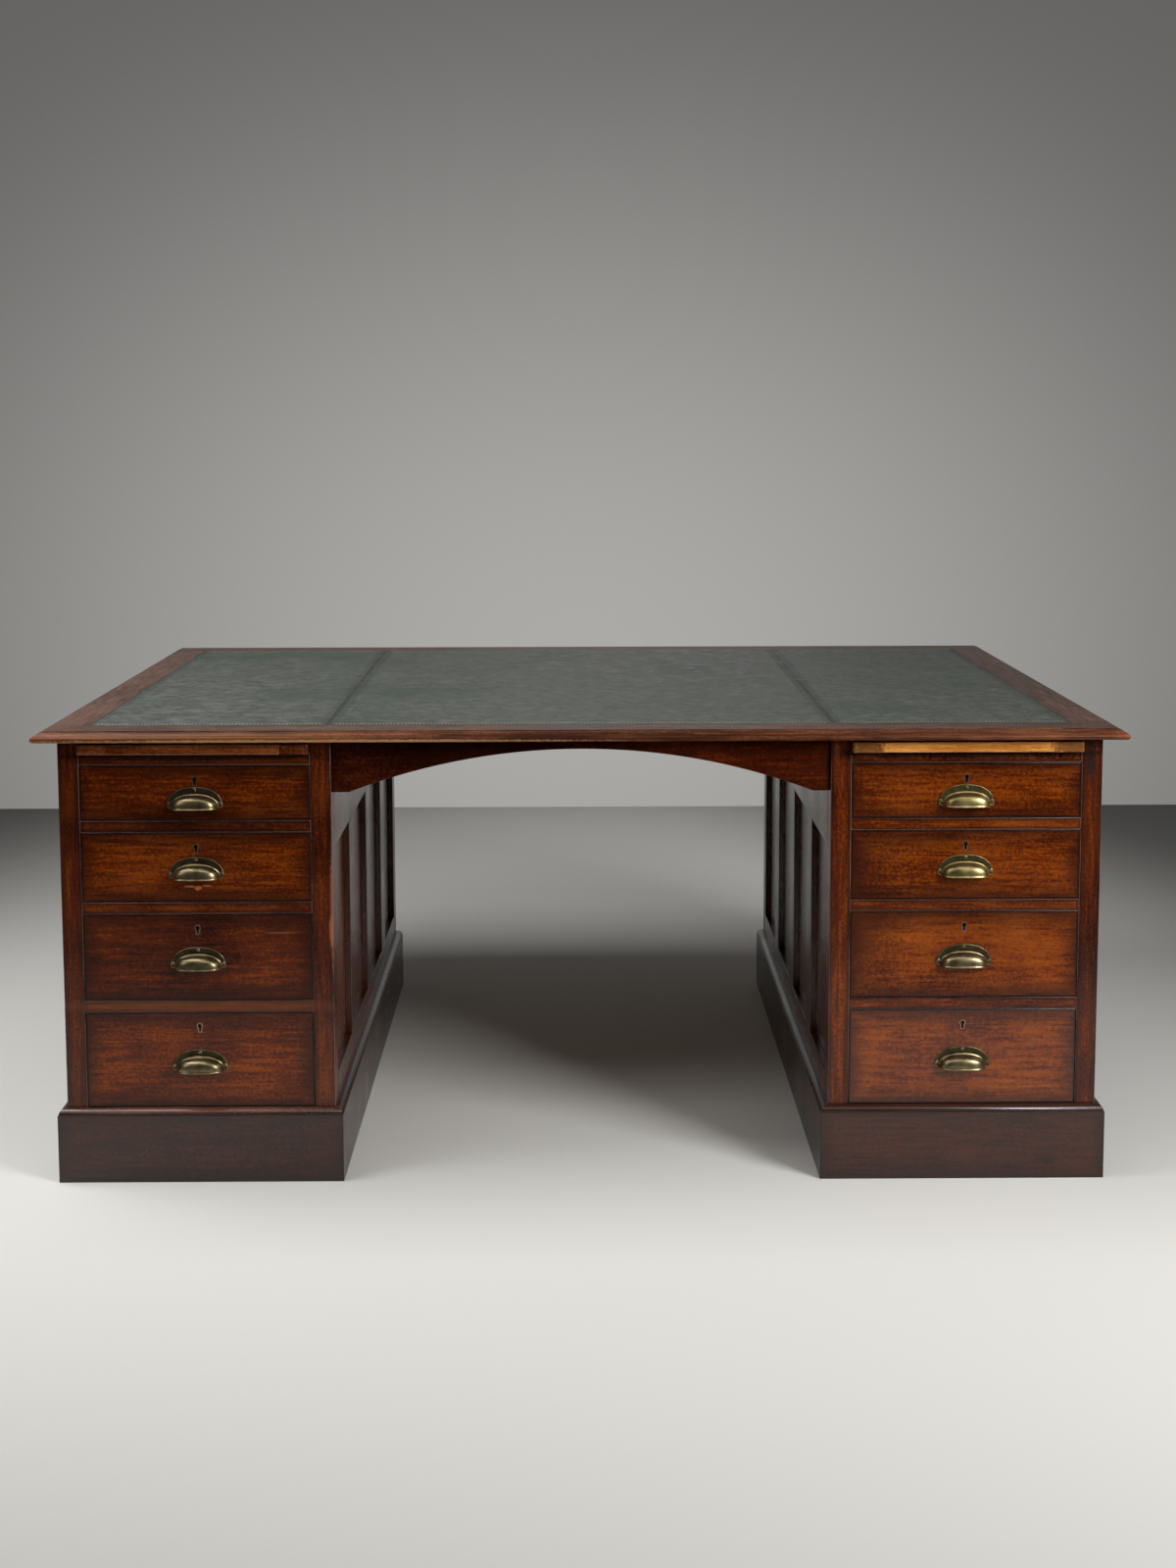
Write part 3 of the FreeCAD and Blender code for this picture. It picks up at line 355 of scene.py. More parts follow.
@dataclass(frozen=True)
class LiningWood:
    """Planed unpolished wood inside the desk.

    The eye sees a dry pale board with fine straight grain, browned by age.
    """

    name: str
    pale: str
    brown: str

    def make(self) -> Material:
        """Lay out the finish.

        Returns:
            The material.
        """
        recipe = Recipe.start(self.name)
        add = recipe.add
        place = recipe.figure_place()
        drawn = add("ShaderNodeVectorMath", {0: place, 1: (0.05, 1.0, 1.0)}, operation="MULTIPLY")
        rings = add("ShaderNodeTexNoise", {"Vector": drawn, "Scale": per_metre(9), "Detail": 4.0})
        cloud = add("ShaderNodeTexNoise", {"Vector": place, "Scale": per_metre(120), "Detail": 2.0})
        mixed = add("ShaderNodeMath", {0: rings, 1: cloud}, operation="ADD")
        share = add("ShaderNodeMapRange", {0: mixed, 1: 0.75, 2: 1.25})
        wood = recipe.paint(linear(self.brown), [(share, self.pale)])
        bump = add("ShaderNodeBump", {"Strength": 0.2, "Distance": 0.3 * MM, "Height": rings})
        look = {"Base Color": wood, "Roughness": 0.62, "Normal": bump}
        add("ShaderNodeOutputMaterial", {0: add("ShaderNodeBsdfPrincipled", look)})
        return recipe.material


@dataclass(frozen=True)
class TooledLeather:
    """Green hide, waxed and rubbed grey by use.

    The eye sees a mottled grey green skin, darker where the tooled band runs round each panel, with a fine
    grain.
    """

    name: str = "hide_dyed_green_and_tooled"
    skin: str = "#2e322e"
    rubbed: str = "#62655e"
    green: str = "#2f4234"
    band: str = "#222522"
    scuffed: str = "#9a9c92"

    def make(self) -> Material:
        """Lay out the finish.

        Returns:
            The material.
        """
        recipe = Recipe.start(self.name)
        add = recipe.add
        where = add("ShaderNodeTexCoord", {}, "Object")
        mottle = add(
            "ShaderNodeTexNoise", {"Vector": where, "Scale": per_metre(32), "Detail": 8.0, "Roughness": 0.75}
        )
        drawn = add("ShaderNodeVectorMath", {0: where, 1: (0.5, 1.0, 1.0)}, operation="MULTIPLY")
        streak = add(
            "ShaderNodeTexNoise", {"Vector": drawn, "Scale": per_metre(8), "Detail": 5.0, "Roughness": 0.75}
        )
        pebble = add("ShaderNodeTexVoronoi", {"Vector": where, "Scale": per_metre(1.4)})
        pool = add("ShaderNodeTexNoise", {"Vector": where, "Scale": per_metre(260), "Detail": 4.0})
        both = add("ShaderNodeMath", {0: mottle, 1: streak}, operation="ADD")
        share = add("ShaderNodeMapRange", {0: both, 1: 0.82, 2: 1.2})
        fresh = add("ShaderNodeMapRange", {0: pool, 1: 0.5, 2: 0.68, 4: 0.6})
        scuff = add("ShaderNodeMapRange", {0: streak, 1: 0.66, 2: 0.73, 4: 0.55})
        along, across, _ = recipe.side_distances()
        edge = add("ShaderNodeMath", {0: along, 1: across}, operation="MINIMUM")
        band = add(
            "ShaderNodeMapRange", {0: edge, 1: 8 * MM, 2: 3 * MM, 4: 0.75}, interpolation_type="SMOOTHSTEP"
        )
        layers = [(share, self.rubbed), (fresh, self.green), (scuff, self.scuffed), (band, self.band)]
        hide = recipe.paint(linear(self.skin), layers)
        bump = add("ShaderNodeBump", {"Strength": 0.15, "Distance": 0.25 * MM, "Height": pebble})
        rough = add("ShaderNodeMapRange", {0: mottle, 1: 0.38, 2: 0.62, 3: 0.36, 4: 0.66})
        look = {"Base Color": hide, "Roughness": rough, "Normal": bump}
        add("ShaderNodeOutputMaterial", {0: add("ShaderNodeBsdfPrincipled", look)})
        return recipe.material


@dataclass(frozen=True)
class AgedBrass:
    """Cast brass, handled bright and left to tarnish.

    The eye sees an olive gold metal, brighter where hands rub it and brown green where dirt stays.
    """

    name: str = "brass_cast_and_tarnished"
    bright: str = "#9f906c"
    dull: str = "#72654a"
    dirt: str = "#271f12"
    dirty: float = 0.0
    smooth: float = 0.3

    def make(self) -> Material:
        """Lay out the finish.

        Returns:
            The material.
        """
        recipe = Recipe.start(self.name)
        add = recipe.add
        where = add("ShaderNodeTexCoord", {}, "Object")
        patina = add("ShaderNodeAttribute", {}, "Fac", attribute_name="patina")
        cloud = add("ShaderNodeTexNoise", {"Vector": where, "Scale": per_metre(14), "Detail": 4.0})
        grit = add("ShaderNodeTexNoise", {"Vector": where, "Scale": per_metre(1.5), "Detail": 3.0})
        share = add("ShaderNodeMapRange", {0: cloud, 1: 0.35, 2: 0.65})
        spread = add("ShaderNodeMath", {0: grit, 1: 0.8, 2: patina}, operation="MULTIPLY_ADD")
        cover = add("ShaderNodeMapRange", {0: spread, 1: 0.5, 2: 1.3, 3: self.dirty, 4: 0.8})
        metal = recipe.paint(linear(self.dull), [(share, self.bright), (cover, self.dirt)])
        rough = add("ShaderNodeMapRange", {0: spread, 1: 0.3, 2: 1.3, 3: self.smooth, 4: 0.52})
        look = {"Base Color": metal, "Metallic": 1.0, "Roughness": rough}
        add("ShaderNodeOutputMaterial", {0: add("ShaderNodeBsdfPrincipled", look)})
        return recipe.material


class Sight(Enum):
    """Who sees a fade in the paper."""

    EVERYONE = "everyone"
    CAMERA = "camera"
    REFLECTIONS = "reflections"


@dataclass(frozen=True)
class Fade:
    """A soft painted shade on the paper outside an ellipse."""

    colour: str
    middle: tuple[float, float, float]
    reach: tuple[float, float, float]
    core: float = 0.0
    sight: Sight = Sight.EVERYONE


@dataclass(frozen=True)
class StudioPaper:
    """Plain matt paper for the floor and the wall.

    The eye sees an even pale surface that greys softly away from the middle of the set, a painted shade where
    the light falls off.
    """

    name: str
    near: str
    fades: tuple[Fade, ...]
    see_through_back: bool = False

    def make(self) -> Material:
        """Lay out the finish.

        Returns:
            The material.
        """
        recipe = Recipe.start(self.name)
        add = recipe.add
        where = add("ShaderNodeTexCoord", {}, "Object")
        colour = linear(self.near)
        for fade in self.fades:
            length = recipe.from_middle(where, fade.middle, fade.reach)
            share = add(
                "ShaderNodeMapRange", {0: length, 1: fade.core, 2: 1.0}, interpolation_type="SMOOTHSTEP"
            )
            if fade.sight is not Sight.EVERYONE:
                seen = add("ShaderNodeLightPath", {}, "Is Camera Ray")
                if fade.sight is Sight.REFLECTIONS:
                    seen = add("ShaderNodeMath", {0: 1.0, 1: seen}, operation="SUBTRACT")
                share = add("ShaderNodeMath", {0: share, 1: seen}, operation="MULTIPLY")
            colour = recipe.paint(colour, [(share, fade.colour)])
        surface = add("ShaderNodeBsdfDiffuse", {"Color": colour})
        if self.see_through_back:
            # The wall shows its own grey to the camera and in reflections, whatever light falls on it.
            seen = add("ShaderNodeLightPath", {}, "Is Camera Ray")
            mirrored = add("ShaderNodeLightPath", {}, "Is Glossy Ray")
            either = add("ShaderNodeMath", {0: seen, 1: mirrored}, operation="MAXIMUM")
            glow = add("ShaderNodeEmission", {"Color": colour, "Strength": 1.0})
            surface = add("ShaderNodeMixShader", {0: either, 1: surface, 2: glow})
            behind = add("ShaderNodeNewGeometry", {}, "Backfacing")
            clear = add("ShaderNodeBsdfTransparent", {})
            surface = add("ShaderNodeMixShader", {0: behind, 1: surface, 2: clear})
        add("ShaderNodeOutputMaterial", {0: surface})
        return recipe.material


@dataclass
class Board:
    """One solid of a CAD node."""

    corners: list[Vector] = field(default_factory=list)
    faces: list[list[int]] = field(default_factory=list)

    def box(self) -> tuple[Vector, Vector]:
        """Measure the board.

        Returns:
            Its lowest and highest corner.
        """
        low = Vector(min(c[i] for c in self.corners) for i in range(3))
        high = Vector(max(c[i] for c in self.corners) for i in range(3))
        return low, high

    def rounded(self, arris: float) -> tuple[BMesh, set]:
        """Round the board's arrises.

        Args:
            arris: Width of the rounding.

        Returns:
            The mesh, and the faces that belong to the rounding.
        """
        mesh = bmesh.new()
        points = [mesh.verts.new(c) for c in self.corners]
        for face in self.faces:
            if len(set(face)) == 3:
                mesh.faces.new([points[i] for i in face])
        bmesh.ops.dissolve_limit(mesh, angle_limit=FLAT_BEND, verts=mesh.verts[:], edges=mesh.edges[:])
        for face in mesh.faces:
            bends = [e.calc_face_angle(0.0) for e in face.edges]
            face.smooth = any(FLAT_BEND < bend < SHARP_BEND for bend in bends)
        sharp = [e for e in mesh.edges if e.calc_face_angle(0.0) > SHARP_BEND]
        made = bmesh.ops.bevel(
            mesh,
            geom=sharp,
            offset=arris,
            offset_type="OFFSET",
            segments=2,
            profile=0.5,
            affect="EDGES",
            clamp_overlap=True,
            loop_slide=True,
        )
        fresh = set(made["faces"])
        for face in fresh:
            face.smooth = True
        return mesh, fresh


def boards_of(node: str) -> list[Board]:
    """Split a CAD node into its solids.

    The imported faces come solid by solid, so a solid ends where its surface closes.

    Args:
        node: Name of the CAD node.

    Returns:
        The node's boards.
    """
    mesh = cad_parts[node].data
    found = []
    current = Board()
    numbers: dict[tuple, int] = {}
    open_edges: set[tuple[int, int]] = set()
    for polygon in mesh.polygons:
        face = []
        for index in polygon.vertices:
            point = mesh.vertices[index].co
            key = tuple(round(value * POINT_GRID) for value in point)
            if key not in numbers:
                numbers[key] = len(current.corners)
                current.corners.append(point.copy())
            face.append(numbers[key])
        current.faces.append(face)
        for start, end in zip(face, face[1:] + face[:1]):
            if (end, start) in open_edges:
                open_edges.remove((end, start))
            elif start != end:
                open_edges.add((start, end))
        if not open_edges:
            found.append(current)
            current = Board()
            numbers = {}
    if current.faces:
        found.append(current)
    return found


@dataclass
class BoardLook:
    """How a board looks: its rounding, warmth, shade, how far dark wax reaches in and its grain's axis."""

    arris: float = 0.9 * MM
    warmth: float = 0.5
    shade: float = 0.0
    reach: float = 34 * MM
    along: int = -1


def place_piece(piece: Object, body: str, nodes: Sequence[str], slot: Slot) -> None:
    """Tie a finished piece to the CAD frame.

    Args:
        piece: The finished mesh.
        body: CAD body that carries it.
        nodes: CAD nodes that it stands for.
        slot: Material slot that it is painted from; not used.
    """
    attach(piece, body)
    if nodes:
        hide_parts(*nodes)
    LOG.info("%s: %d faces on %s", piece.name, len(piece.data.polygons), body)


def put(name: str, data: ID) -> Object:
    """Add an object to the scene.

    Args:
        name: The object's name.
        data: Its mesh, light or camera.

    Returns:
        The object, at the origin and unturned.
    """
    made = bpy.data.objects.new(name, data)
    bpy.context.scene.collection.objects.link(made)
    return made


def object_from(name: str, mesh: BMesh, material: Material) -> Object:
    """Turn a working mesh into a scene object.

    Args:
        name: Name of the piece.
        mesh: The working mesh, freed here.
        material: Its finish.

    Returns:
        The object, at the origin and unturned.
    """
    data = bpy.data.meshes.new(name)
    mesh.to_mesh(data)
    mesh.free()
    data.materials.append(material)
    return put(name, data)


def skin(mesh: BMesh, rows: Sequence[list], closed: bool) -> list[BMFace]:
    """Join rows of points with faces.

    Args:
        mesh: Mesh that takes the faces.
        rows: Rows with the same number of points.
        closed: Whether each row runs round to its start.

    Returns:
        The faces, row by row; in a closed row the one that closes it comes first.
    """
    faces = []
    for before, after in zip(rows, rows[1:]):
        for step in range(0 if closed else 1, len(before)):
            corners = (before[step - 1], before[step], after[step], after[step - 1])
            faces.append(mesh.faces.new(corners))
    return faces


def plane_and_place(
    node: str, body: str, look: BoardLook | Callable[[Vector], BoardLook], material: Material, slot: Slot
) -> None:
    """Copy a CAD node's boards with rounded arrises and the grain laid along each, named after the node.

    Args:
        node: Name of the CAD node.
        body: CAD body that carries it.
        look: Rounding and tone of every board, or a function that gives them for a board's size.
        material: The finish.
        slot: Material slot that it is painted from.
    """
    whole = bmesh.new()
    grain = whole.verts.layers.float_vector.new("grain")
    half = whole.verts.layers.float_vector.new("half")
    tone = whole.verts.layers.float_vector.new("board")
    dark = whole.verts.layers.float.new("reach")
    arris = whole.faces.layers.float.new("arris")
    for number, board in enumerate(boards_of(node)):
        low, high = board.box()
        middle = (low + high) / 2
        reach = (high - low) / 2
        wood = look if isinstance(look, BoardLook) else look(2 * reach)
        order = sorted(range(3), key=lambda axis: (axis != wood.along, -reach[axis]))
        chance = random.Random(f"{node} {number}")
        seed = chance.random()
        warmth = wood.warmth + chance.uniform(-WARMTH_SPREAD, WARMTH_SPREAD)
        mesh, fresh = board.rounded(wood.arris)
        copies = {}
        for vertex in mesh.verts:
            copy = whole.verts.new(vertex.co)
            copy[grain] = Vector(vertex.co[axis] - middle[axis] for axis in order)
            copy[half] = Vector(reach[axis] for axis in order)
            copy[tone] = Vector((seed, warmth, wood.shade))
            copy[dark] = wood.reach
            copies[vertex] = copy
        for face in mesh.faces:
            copy = whole.faces.new([copies[v] for v in face.verts])
            copy.smooth = face.smooth
            copy[arris] = 1.0 if face in fresh else 0.0
        mesh.free()
    place_piece(object_from(f"{node}_piece", whole, material), body, (node,), slot)


@dataclass
class Finishes:
    """Every material of the desk, made once."""

    polished: Material
    fronts: Material
    low_front: Material
    apron: Material
    sides: Material
    top_edge: Material
    plinth: Material
    slide: Material
    worn_slide: Material
    oak: Material
    pine: Material
    leather: Material
    tooling: Material
    leather_stamped: Material
    brass: Material
    gold_brass: Material
    rim: Material
    old_brass: Material

    @classmethod
    def make(cls) -> "Finishes":
        """Make the materials.

        Returns:
            The desk's finishes.
        """
        # Wear that the eye picks out: a stain on the right outer post, a rubbed arris on the left inner post,
        # a dark and a pale rail on the left. Painted shadows: the rail under each slide is painted dark where
        # the slide's shadow falls.
        frame_wear_and_shadows = (
            Mark((0.859, -0.574, 0.722), (0.009, 0.02, 0.04), "#201b1a", 0.85),
            Mark((-0.4225, -0.574, 0.434), (0.006, 0.012, 0.03), "#96563f", 0.8, 0.3),
            Mark((-0.4215, -0.574, 0.47), (0.004, 0.012, 0.11), "#9b6650", 0.55, 0.4),
            # Painted shadow of the left and right slides on the rails below them.
            Mark((-0.65, -0.574, 0.735), (0.26, 0.02, 0.011), "#0f0402", 0.85),
            Mark((0.65, -0.574, 0.735), (0.26, 0.02, 0.011), "#0f0402", 0.85),
            Mark((-0.65, -0.574, 0.6143), (0.26, 0.02, 0.02), "#180602", 0.4),
            Mark((-0.65, -0.574, 0.3038), (0.26, 0.02, 0.012), "#80492a", 0.35),
        )
        # Chips under the second left pull, a scratch on the third left front, dark ends on the right fronts.
        front_marks = (
            Mark((-0.661, -0.574, 0.5115), (0.011, 0.01, 0.0022), "#c0703f", 0.9, 0.15),
            Mark((-0.648, -0.574, 0.5085), (0.007, 0.01, 0.0042), "#c0703f", 0.9, 0.15),
            Mark((-0.633, -0.574, 0.5125), (0.011, 0.01, 0.0018), "#b0643a", 0.9, 0.15),
            Mark((-0.51, -0.574, 0.431), (0.03, 0.01, 0.0016), "#7d5a48", 0.5, 0.3),
            Mark((0.468, -0.574, 0.46), (0.075, 0.02, 0.2), "#2c0e05", 0.6, 0.9),
        )
        # The left half of the apron is painted darker, partly darkened wood and partly painted shade where it
        # lies in shadow.
        apron_shade = (Mark((-0.2, -0.568, 0.735), (0.3, 0.03, 0.06), "#150402", 0.8),)
        # The front of the moulded edge is painted golden on the left, partly a painted highlight and partly
        # rubbed polish, and dark in the middle, a painted shade where no highlight falls; its lower arris is
        # painted pale, partly rubbed wear and partly a painted highlight.
        edge_highlight_and_shade = (
            Mark((-0.62, -0.61, 0.772), (0.3, 0.012, 0.012), "#673a0c", 0.85, 0.9),
            Mark((0.05, -0.61, 0.772), (0.5, 0.012, 0.012), "#2a150b", 0.75),
            Mark((0.65, -0.61, 0.772), (0.3, 0.012, 0.012), "#4a2a1c", 0.35, 0.9),
            Mark((-0.45, -0.61, 0.7645), (0.5, 0.012, 0.0032), "#c99a70", 0.8, 0.6),
        )
        # Painted highlight: the plinth's moulded top is painted lighter and redder where it catches the
        # light, most of all on the left.
        plinth_highlights = (
            Mark((-0.65, -0.581, 0.1255), (0.27, 0.012, 0.006), "#9a6450", 0.42),
            Mark((0.65, -0.581, 0.1255), (0.27, 0.012, 0.006), "#7c4c3a", 0.1),
        )
        # The cleats of the right slide show darker end grain.
        slide_marks = (
            Mark((0.48, -0.592, 0.748), (0.032, 0.024, 0.024), "#4c2810", 0.8, 0.4),
            Mark((0.82, -0.592, 0.748), (0.032, 0.024, 0.024), "#5a3014", 0.8, 0.4),
        )
        return cls(
            polished=Polish(
                "mahogany_frame_french_polished", pale_arris="#9c705c", rub=0.6, marks=frame_wear_and_shadows
            ).make(),
            fronts=Polish(
                "mahogany_fronts_french_polished",
                edge_dark=0.78,
                grime_and_gap_shade=0.9,
                rub=0.15,
                shine=0.3,
                marks=front_marks,
            ).make(),
            low_front=Polish(
                "mahogany_low_front_french_polished", edge_dark=0.78, grime_and_gap_shade=0.9, rub=0.15, shine=0.48
            ).make(),
            # The apron's dark colour is partly painted shade, as it sits back under the top's overhang.
            apron=Polish(
                "mahogany_apron_french_polished",
                body="#5c210a",
                flame="#7d3a12",
                shine=0.1,
                marks=apron_shade,
            ).make(),
            sides=Polish(
                "mahogany_sides_french_polished", body="#4a200c", flame="#6d3512", gloss=0.26, shine=0.8
            ).make(),
            # The top's flat border is painted greyish brown, partly faded wood and partly a painted
            # reflection of the wall at a low angle.
            top_edge=Polish(
                "mahogany_top_faded_and_painted_reflection",
                deep="#2a140c",
                body="#5b4136",
                flame="#7a5f52",
                pale_arris="#c49a78",
                side="#4a210c",
                side_light="#8c4f2c",
                edge_dark=0.2,
                grime_and_gap_shade=0.0,
                rub=0.6,
                gloss=0.38,
                shine=0.1,
                marks=edge_highlight_and_shade,
            ).make(),
            plinth=Polish(
                "mahogany_plinth_dark_polished",
                deep="#1c0f0b",
                body="#38190e",
                flame="#4e2616",
                shine=0.55,
                marks=plinth_highlights,
            ).make(),
            # The right slide is painted pale and bright, partly its own paler wood and partly painted light
            # where it sits under the top; its pale front edge and arrises are partly rubbed wear and partly
            # painted highlight.
            slide=Polish(
                "mahogany_slide_sun_bleached",
                deep="#2e1508",
                body="#713714",
                flame="#a8622c",
                pale_arris="#e0b098",
                side="#b8722e",
                side_light="#f2aa52",
                edge_dark=0.4,
                grime_and_gap_shade=0.0,
                rub=0.8,
                marks=slide_marks,
            ).make(),
            # The left slide's pale arrises are partly rubbed wear and partly a painted highlight.
            worn_slide=Polish(
                "mahogany_slide_rubbed",
                deep="#2a1106",
                body="#713714",
                flame="#a35c28",
                pale_arris="#b88468",
                edge_dark=0.4,
                grime_and_gap_shade=0.0,
                rub=0.8,
            ).make(),
            oak=LiningWood("oak_planed_and_browned", pale="#a07c50", brown="#6e4d2c").make(),
            pine=LiningWood("pine_planed_and_browned", pale="#a5804f", brown="#7a5831").make(),
            leather=TooledLeather().make(),
            tooling=TooledLeather(
                "hide_stamped_and_rubbed_pale",
                skin="#616e60",
                rubbed="#94a28a",
                green="#70806e",
                band="#7d8a76",
            ).make(),
            leather_stamped=TooledLeather(
                "hide_stamped_dark", skin="#2f332e", rubbed="#50554e", green="#2e3d33", band="#3c413b"
            ).make(),
            brass=AgedBrass().make(),
            gold_brass=AgedBrass(
                "brass_cast_and_handled", bright="#b3a06e", dull="#87794f", dirt="#2b2413", smooth=0.34
            ).make(),
            rim=AgedBrass("brass_strip_rubbed_pale", bright="#b8937f", dull="#94705f", dirt="#50372c").make(),
            old_brass=AgedBrass(
                "brass_rolled_and_browned", bright="#8a7440", dull="#55482a", dirt="#241f12", dirty=0.2
            ).make(),
        )


@dataclass
class StampSheet:
    """Places for a repeated small shape, spread over one body by geometry nodes."""

    name: str
    body: str
    slot: Slot
    places: list[tuple[Vector, Euler]] = field(default_factory=list)

    def at(self, point: Vector, turn: Euler) -> None:
        """Add one place."""
        self.places.append((point, turn))

    def spread(self, shape: Object, material: Material, seed: int, twist: float) -> Object:
        """Lay the shape at every place and keep the result as a plain mesh.

        Args:
            shape: The small shape, facing +Z about its own origin.
            material: Its finish.
            seed: Seed of the small turns.
            twist: Largest turn about the shape's own axis, in radians.

        Returns:
            The finished piece.
        """
        data = bpy.data.meshes.new(f"{self.name}_places")
        data.from_pydata([p for p, _ in self.places], [], [])
        turns = data.attributes.new("turn", "FLOAT_VECTOR", "POINT")
        turns.data.foreach_set("vector", [value for _, turn in self.places for value in turn])
        holder = put(f"{self.name}_places", data)
        modifier = holder.modifiers.new("spread", "NODES")
        modifier.node_group = self.tree()
        sockets = {
            item.name: item.identifier
            for item in modifier.node_group.interface.items_tree
            if item.item_type == "SOCKET" and item.in_out == "INPUT"
        }
        modifier[sockets["Shape"]] = shape
        modifier[sockets["Finish"]] = material
        modifier[sockets["Seed"]] = seed
        modifier[sockets["Twist"]] = twist
        graph = bpy.context.evaluated_depsgraph_get()
        made = bpy.data.meshes.new_from_object(holder.evaluated_get(graph))
        holder.modifiers.clear()
        bpy.data.objects.remove(holder)
        made.name = self.name
        piece = put(self.name, made)
        place_piece(piece, self.body, (), self.slot)
        return piece

    @staticmethod
    def tree() -> NodeTree:
        """Build the node tree that lays a shape at each point.

        Returns:
            The tree, made on the first call and shared after it.
        """
        known = bpy.data.node_groups.get("lay_shape_at_points")
        if known:
            return known
        tree = bpy.data.node_groups.new("lay_shape_at_points", "GeometryNodeTree")
        for label, kind in (
            ("Points", "NodeSocketGeometry"),
            ("Shape", "NodeSocketObject"),
            ("Finish", "NodeSocketMaterial"),
            ("Seed", "NodeSocketInt"),
            ("Twist", "NodeSocketFloat"),
        ):
            tree.interface.new_socket(label, in_out="INPUT", socket_type=kind)
        tree.interface.new_socket("Mesh", in_out="OUTPUT", socket_type="NodeSocketGeometry")
        nodes = {
            name: tree.nodes.new(kind)
            for name, kind in (
                ("given", "NodeGroupInput"),
                ("shape", "GeometryNodeObjectInfo"),
                ("turn", "GeometryNodeInputNamedAttribute"),
                ("chance", "FunctionNodeRandomValue"),
                ("spin", "ShaderNodeCombineXYZ"),
                ("spin_turn", "FunctionNodeEulerToRotation"),
                ("facing", "FunctionNodeEulerToRotation"),
                ("whole_turn", "FunctionNodeRotateRotation"),
                ("lay", "GeometryNodeInstanceOnPoints"),
                ("real", "GeometryNodeRealizeInstances"),
                ("paint", "GeometryNodeSetMaterial"),
                ("result", "NodeGroupOutput"),
            )
        }
        nodes["turn"].data_type = "FLOAT_VECTOR"
        nodes["turn"].inputs["Name"].default_value = "turn"
        nodes["chance"].data_type = "FLOAT"
        nodes["chance"].inputs[2].default_value = 0.0
        nodes["whole_turn"].rotation_space = "LOCAL"
        for source, out, target, into in (
            ("given", "Shape", "shape", "Object"),
            ("given", "Seed", "chance", "Seed"),
            ("given", "Twist", "chance", 3),
            ("chance", 1, "spin", "Z"),
            ("spin", 0, "spin_turn", 0),
            ("turn", 0, "facing", 0),
            ("facing", 0, "whole_turn", 0),
            ("spin_turn", 0, "whole_turn", 1),
            ("given", "Points", "lay", "Points"),
            ("shape", "Geometry", "lay", "Instance"),
            ("whole_turn", 0, "lay", "Rotation"),
            ("lay", 0, "real", 0),
            ("real", 0, "paint", "Geometry"),
            ("given", "Finish", "paint", "Material"),
            ("paint", 0, "result", 0),
        ):
            tree.links.new(nodes[source].outputs[out], nodes[target].inputs[into])
        return tree


def domed_screw(radius: float) -> Object:
    """Make a slotted round-head screw, as two half domes with the slot between.

    Args:
        radius: Radius of the head.

    Returns:
        The shape, kept out of the scene, facing +Z.
    """
    mesh = bmesh.new()
    # Each ring of the dome: its radius and height as shares of the head's radius.
    rings = ((1.0, 0.0), (0.92, 0.22), (0.6, 0.42))
    points = 7
    half_slot = radius * 0.1
    for side in (0.0, math.pi):
        loops = []
        for share, height in rings:
            loop = []
            for step in range(points):
                angle = side + math.pi * step / (points - 1)
                across = radius * share * math.sin(angle) + math.copysign(half_slot, math.cos(side))
                loop.append(mesh.verts.new((radius * share * math.cos(angle), across, radius * height)))
            loops.append(loop)
        skin(mesh, loops, True)
        mesh.faces.new(loops[-1])
    for face in mesh.faces:
        face.smooth = len(face.verts) == 4
    data = bpy.data.meshes.new("screw_shape")
    mesh.to_mesh(data)
    mesh.free()
    return bpy.data.objects.new("screw_shape", data)


def pressed_bead(length: float, width: float, height: float) -> Object:
    """Make the little lozenge that a tooling wheel leaves.

    Args:
        length: Size along the row.
        width: Size across it.
        height: How far it stands up.

    Returns:
        The shape, kept out of the scene, facing +Z.
    """
    data = bpy.data.meshes.new("bead_shape")
    points = [(length / 2, 0, 0), (0, width / 2, 0), (-length / 2, 0, 0), (0, -width / 2, 0), (0, 0, height)]
    data.from_pydata(points, [], [(0, 1, 4), (1, 2, 4), (2, 3, 4), (3, 0, 4)])
    return bpy.data.objects.new("bead_shape", data)


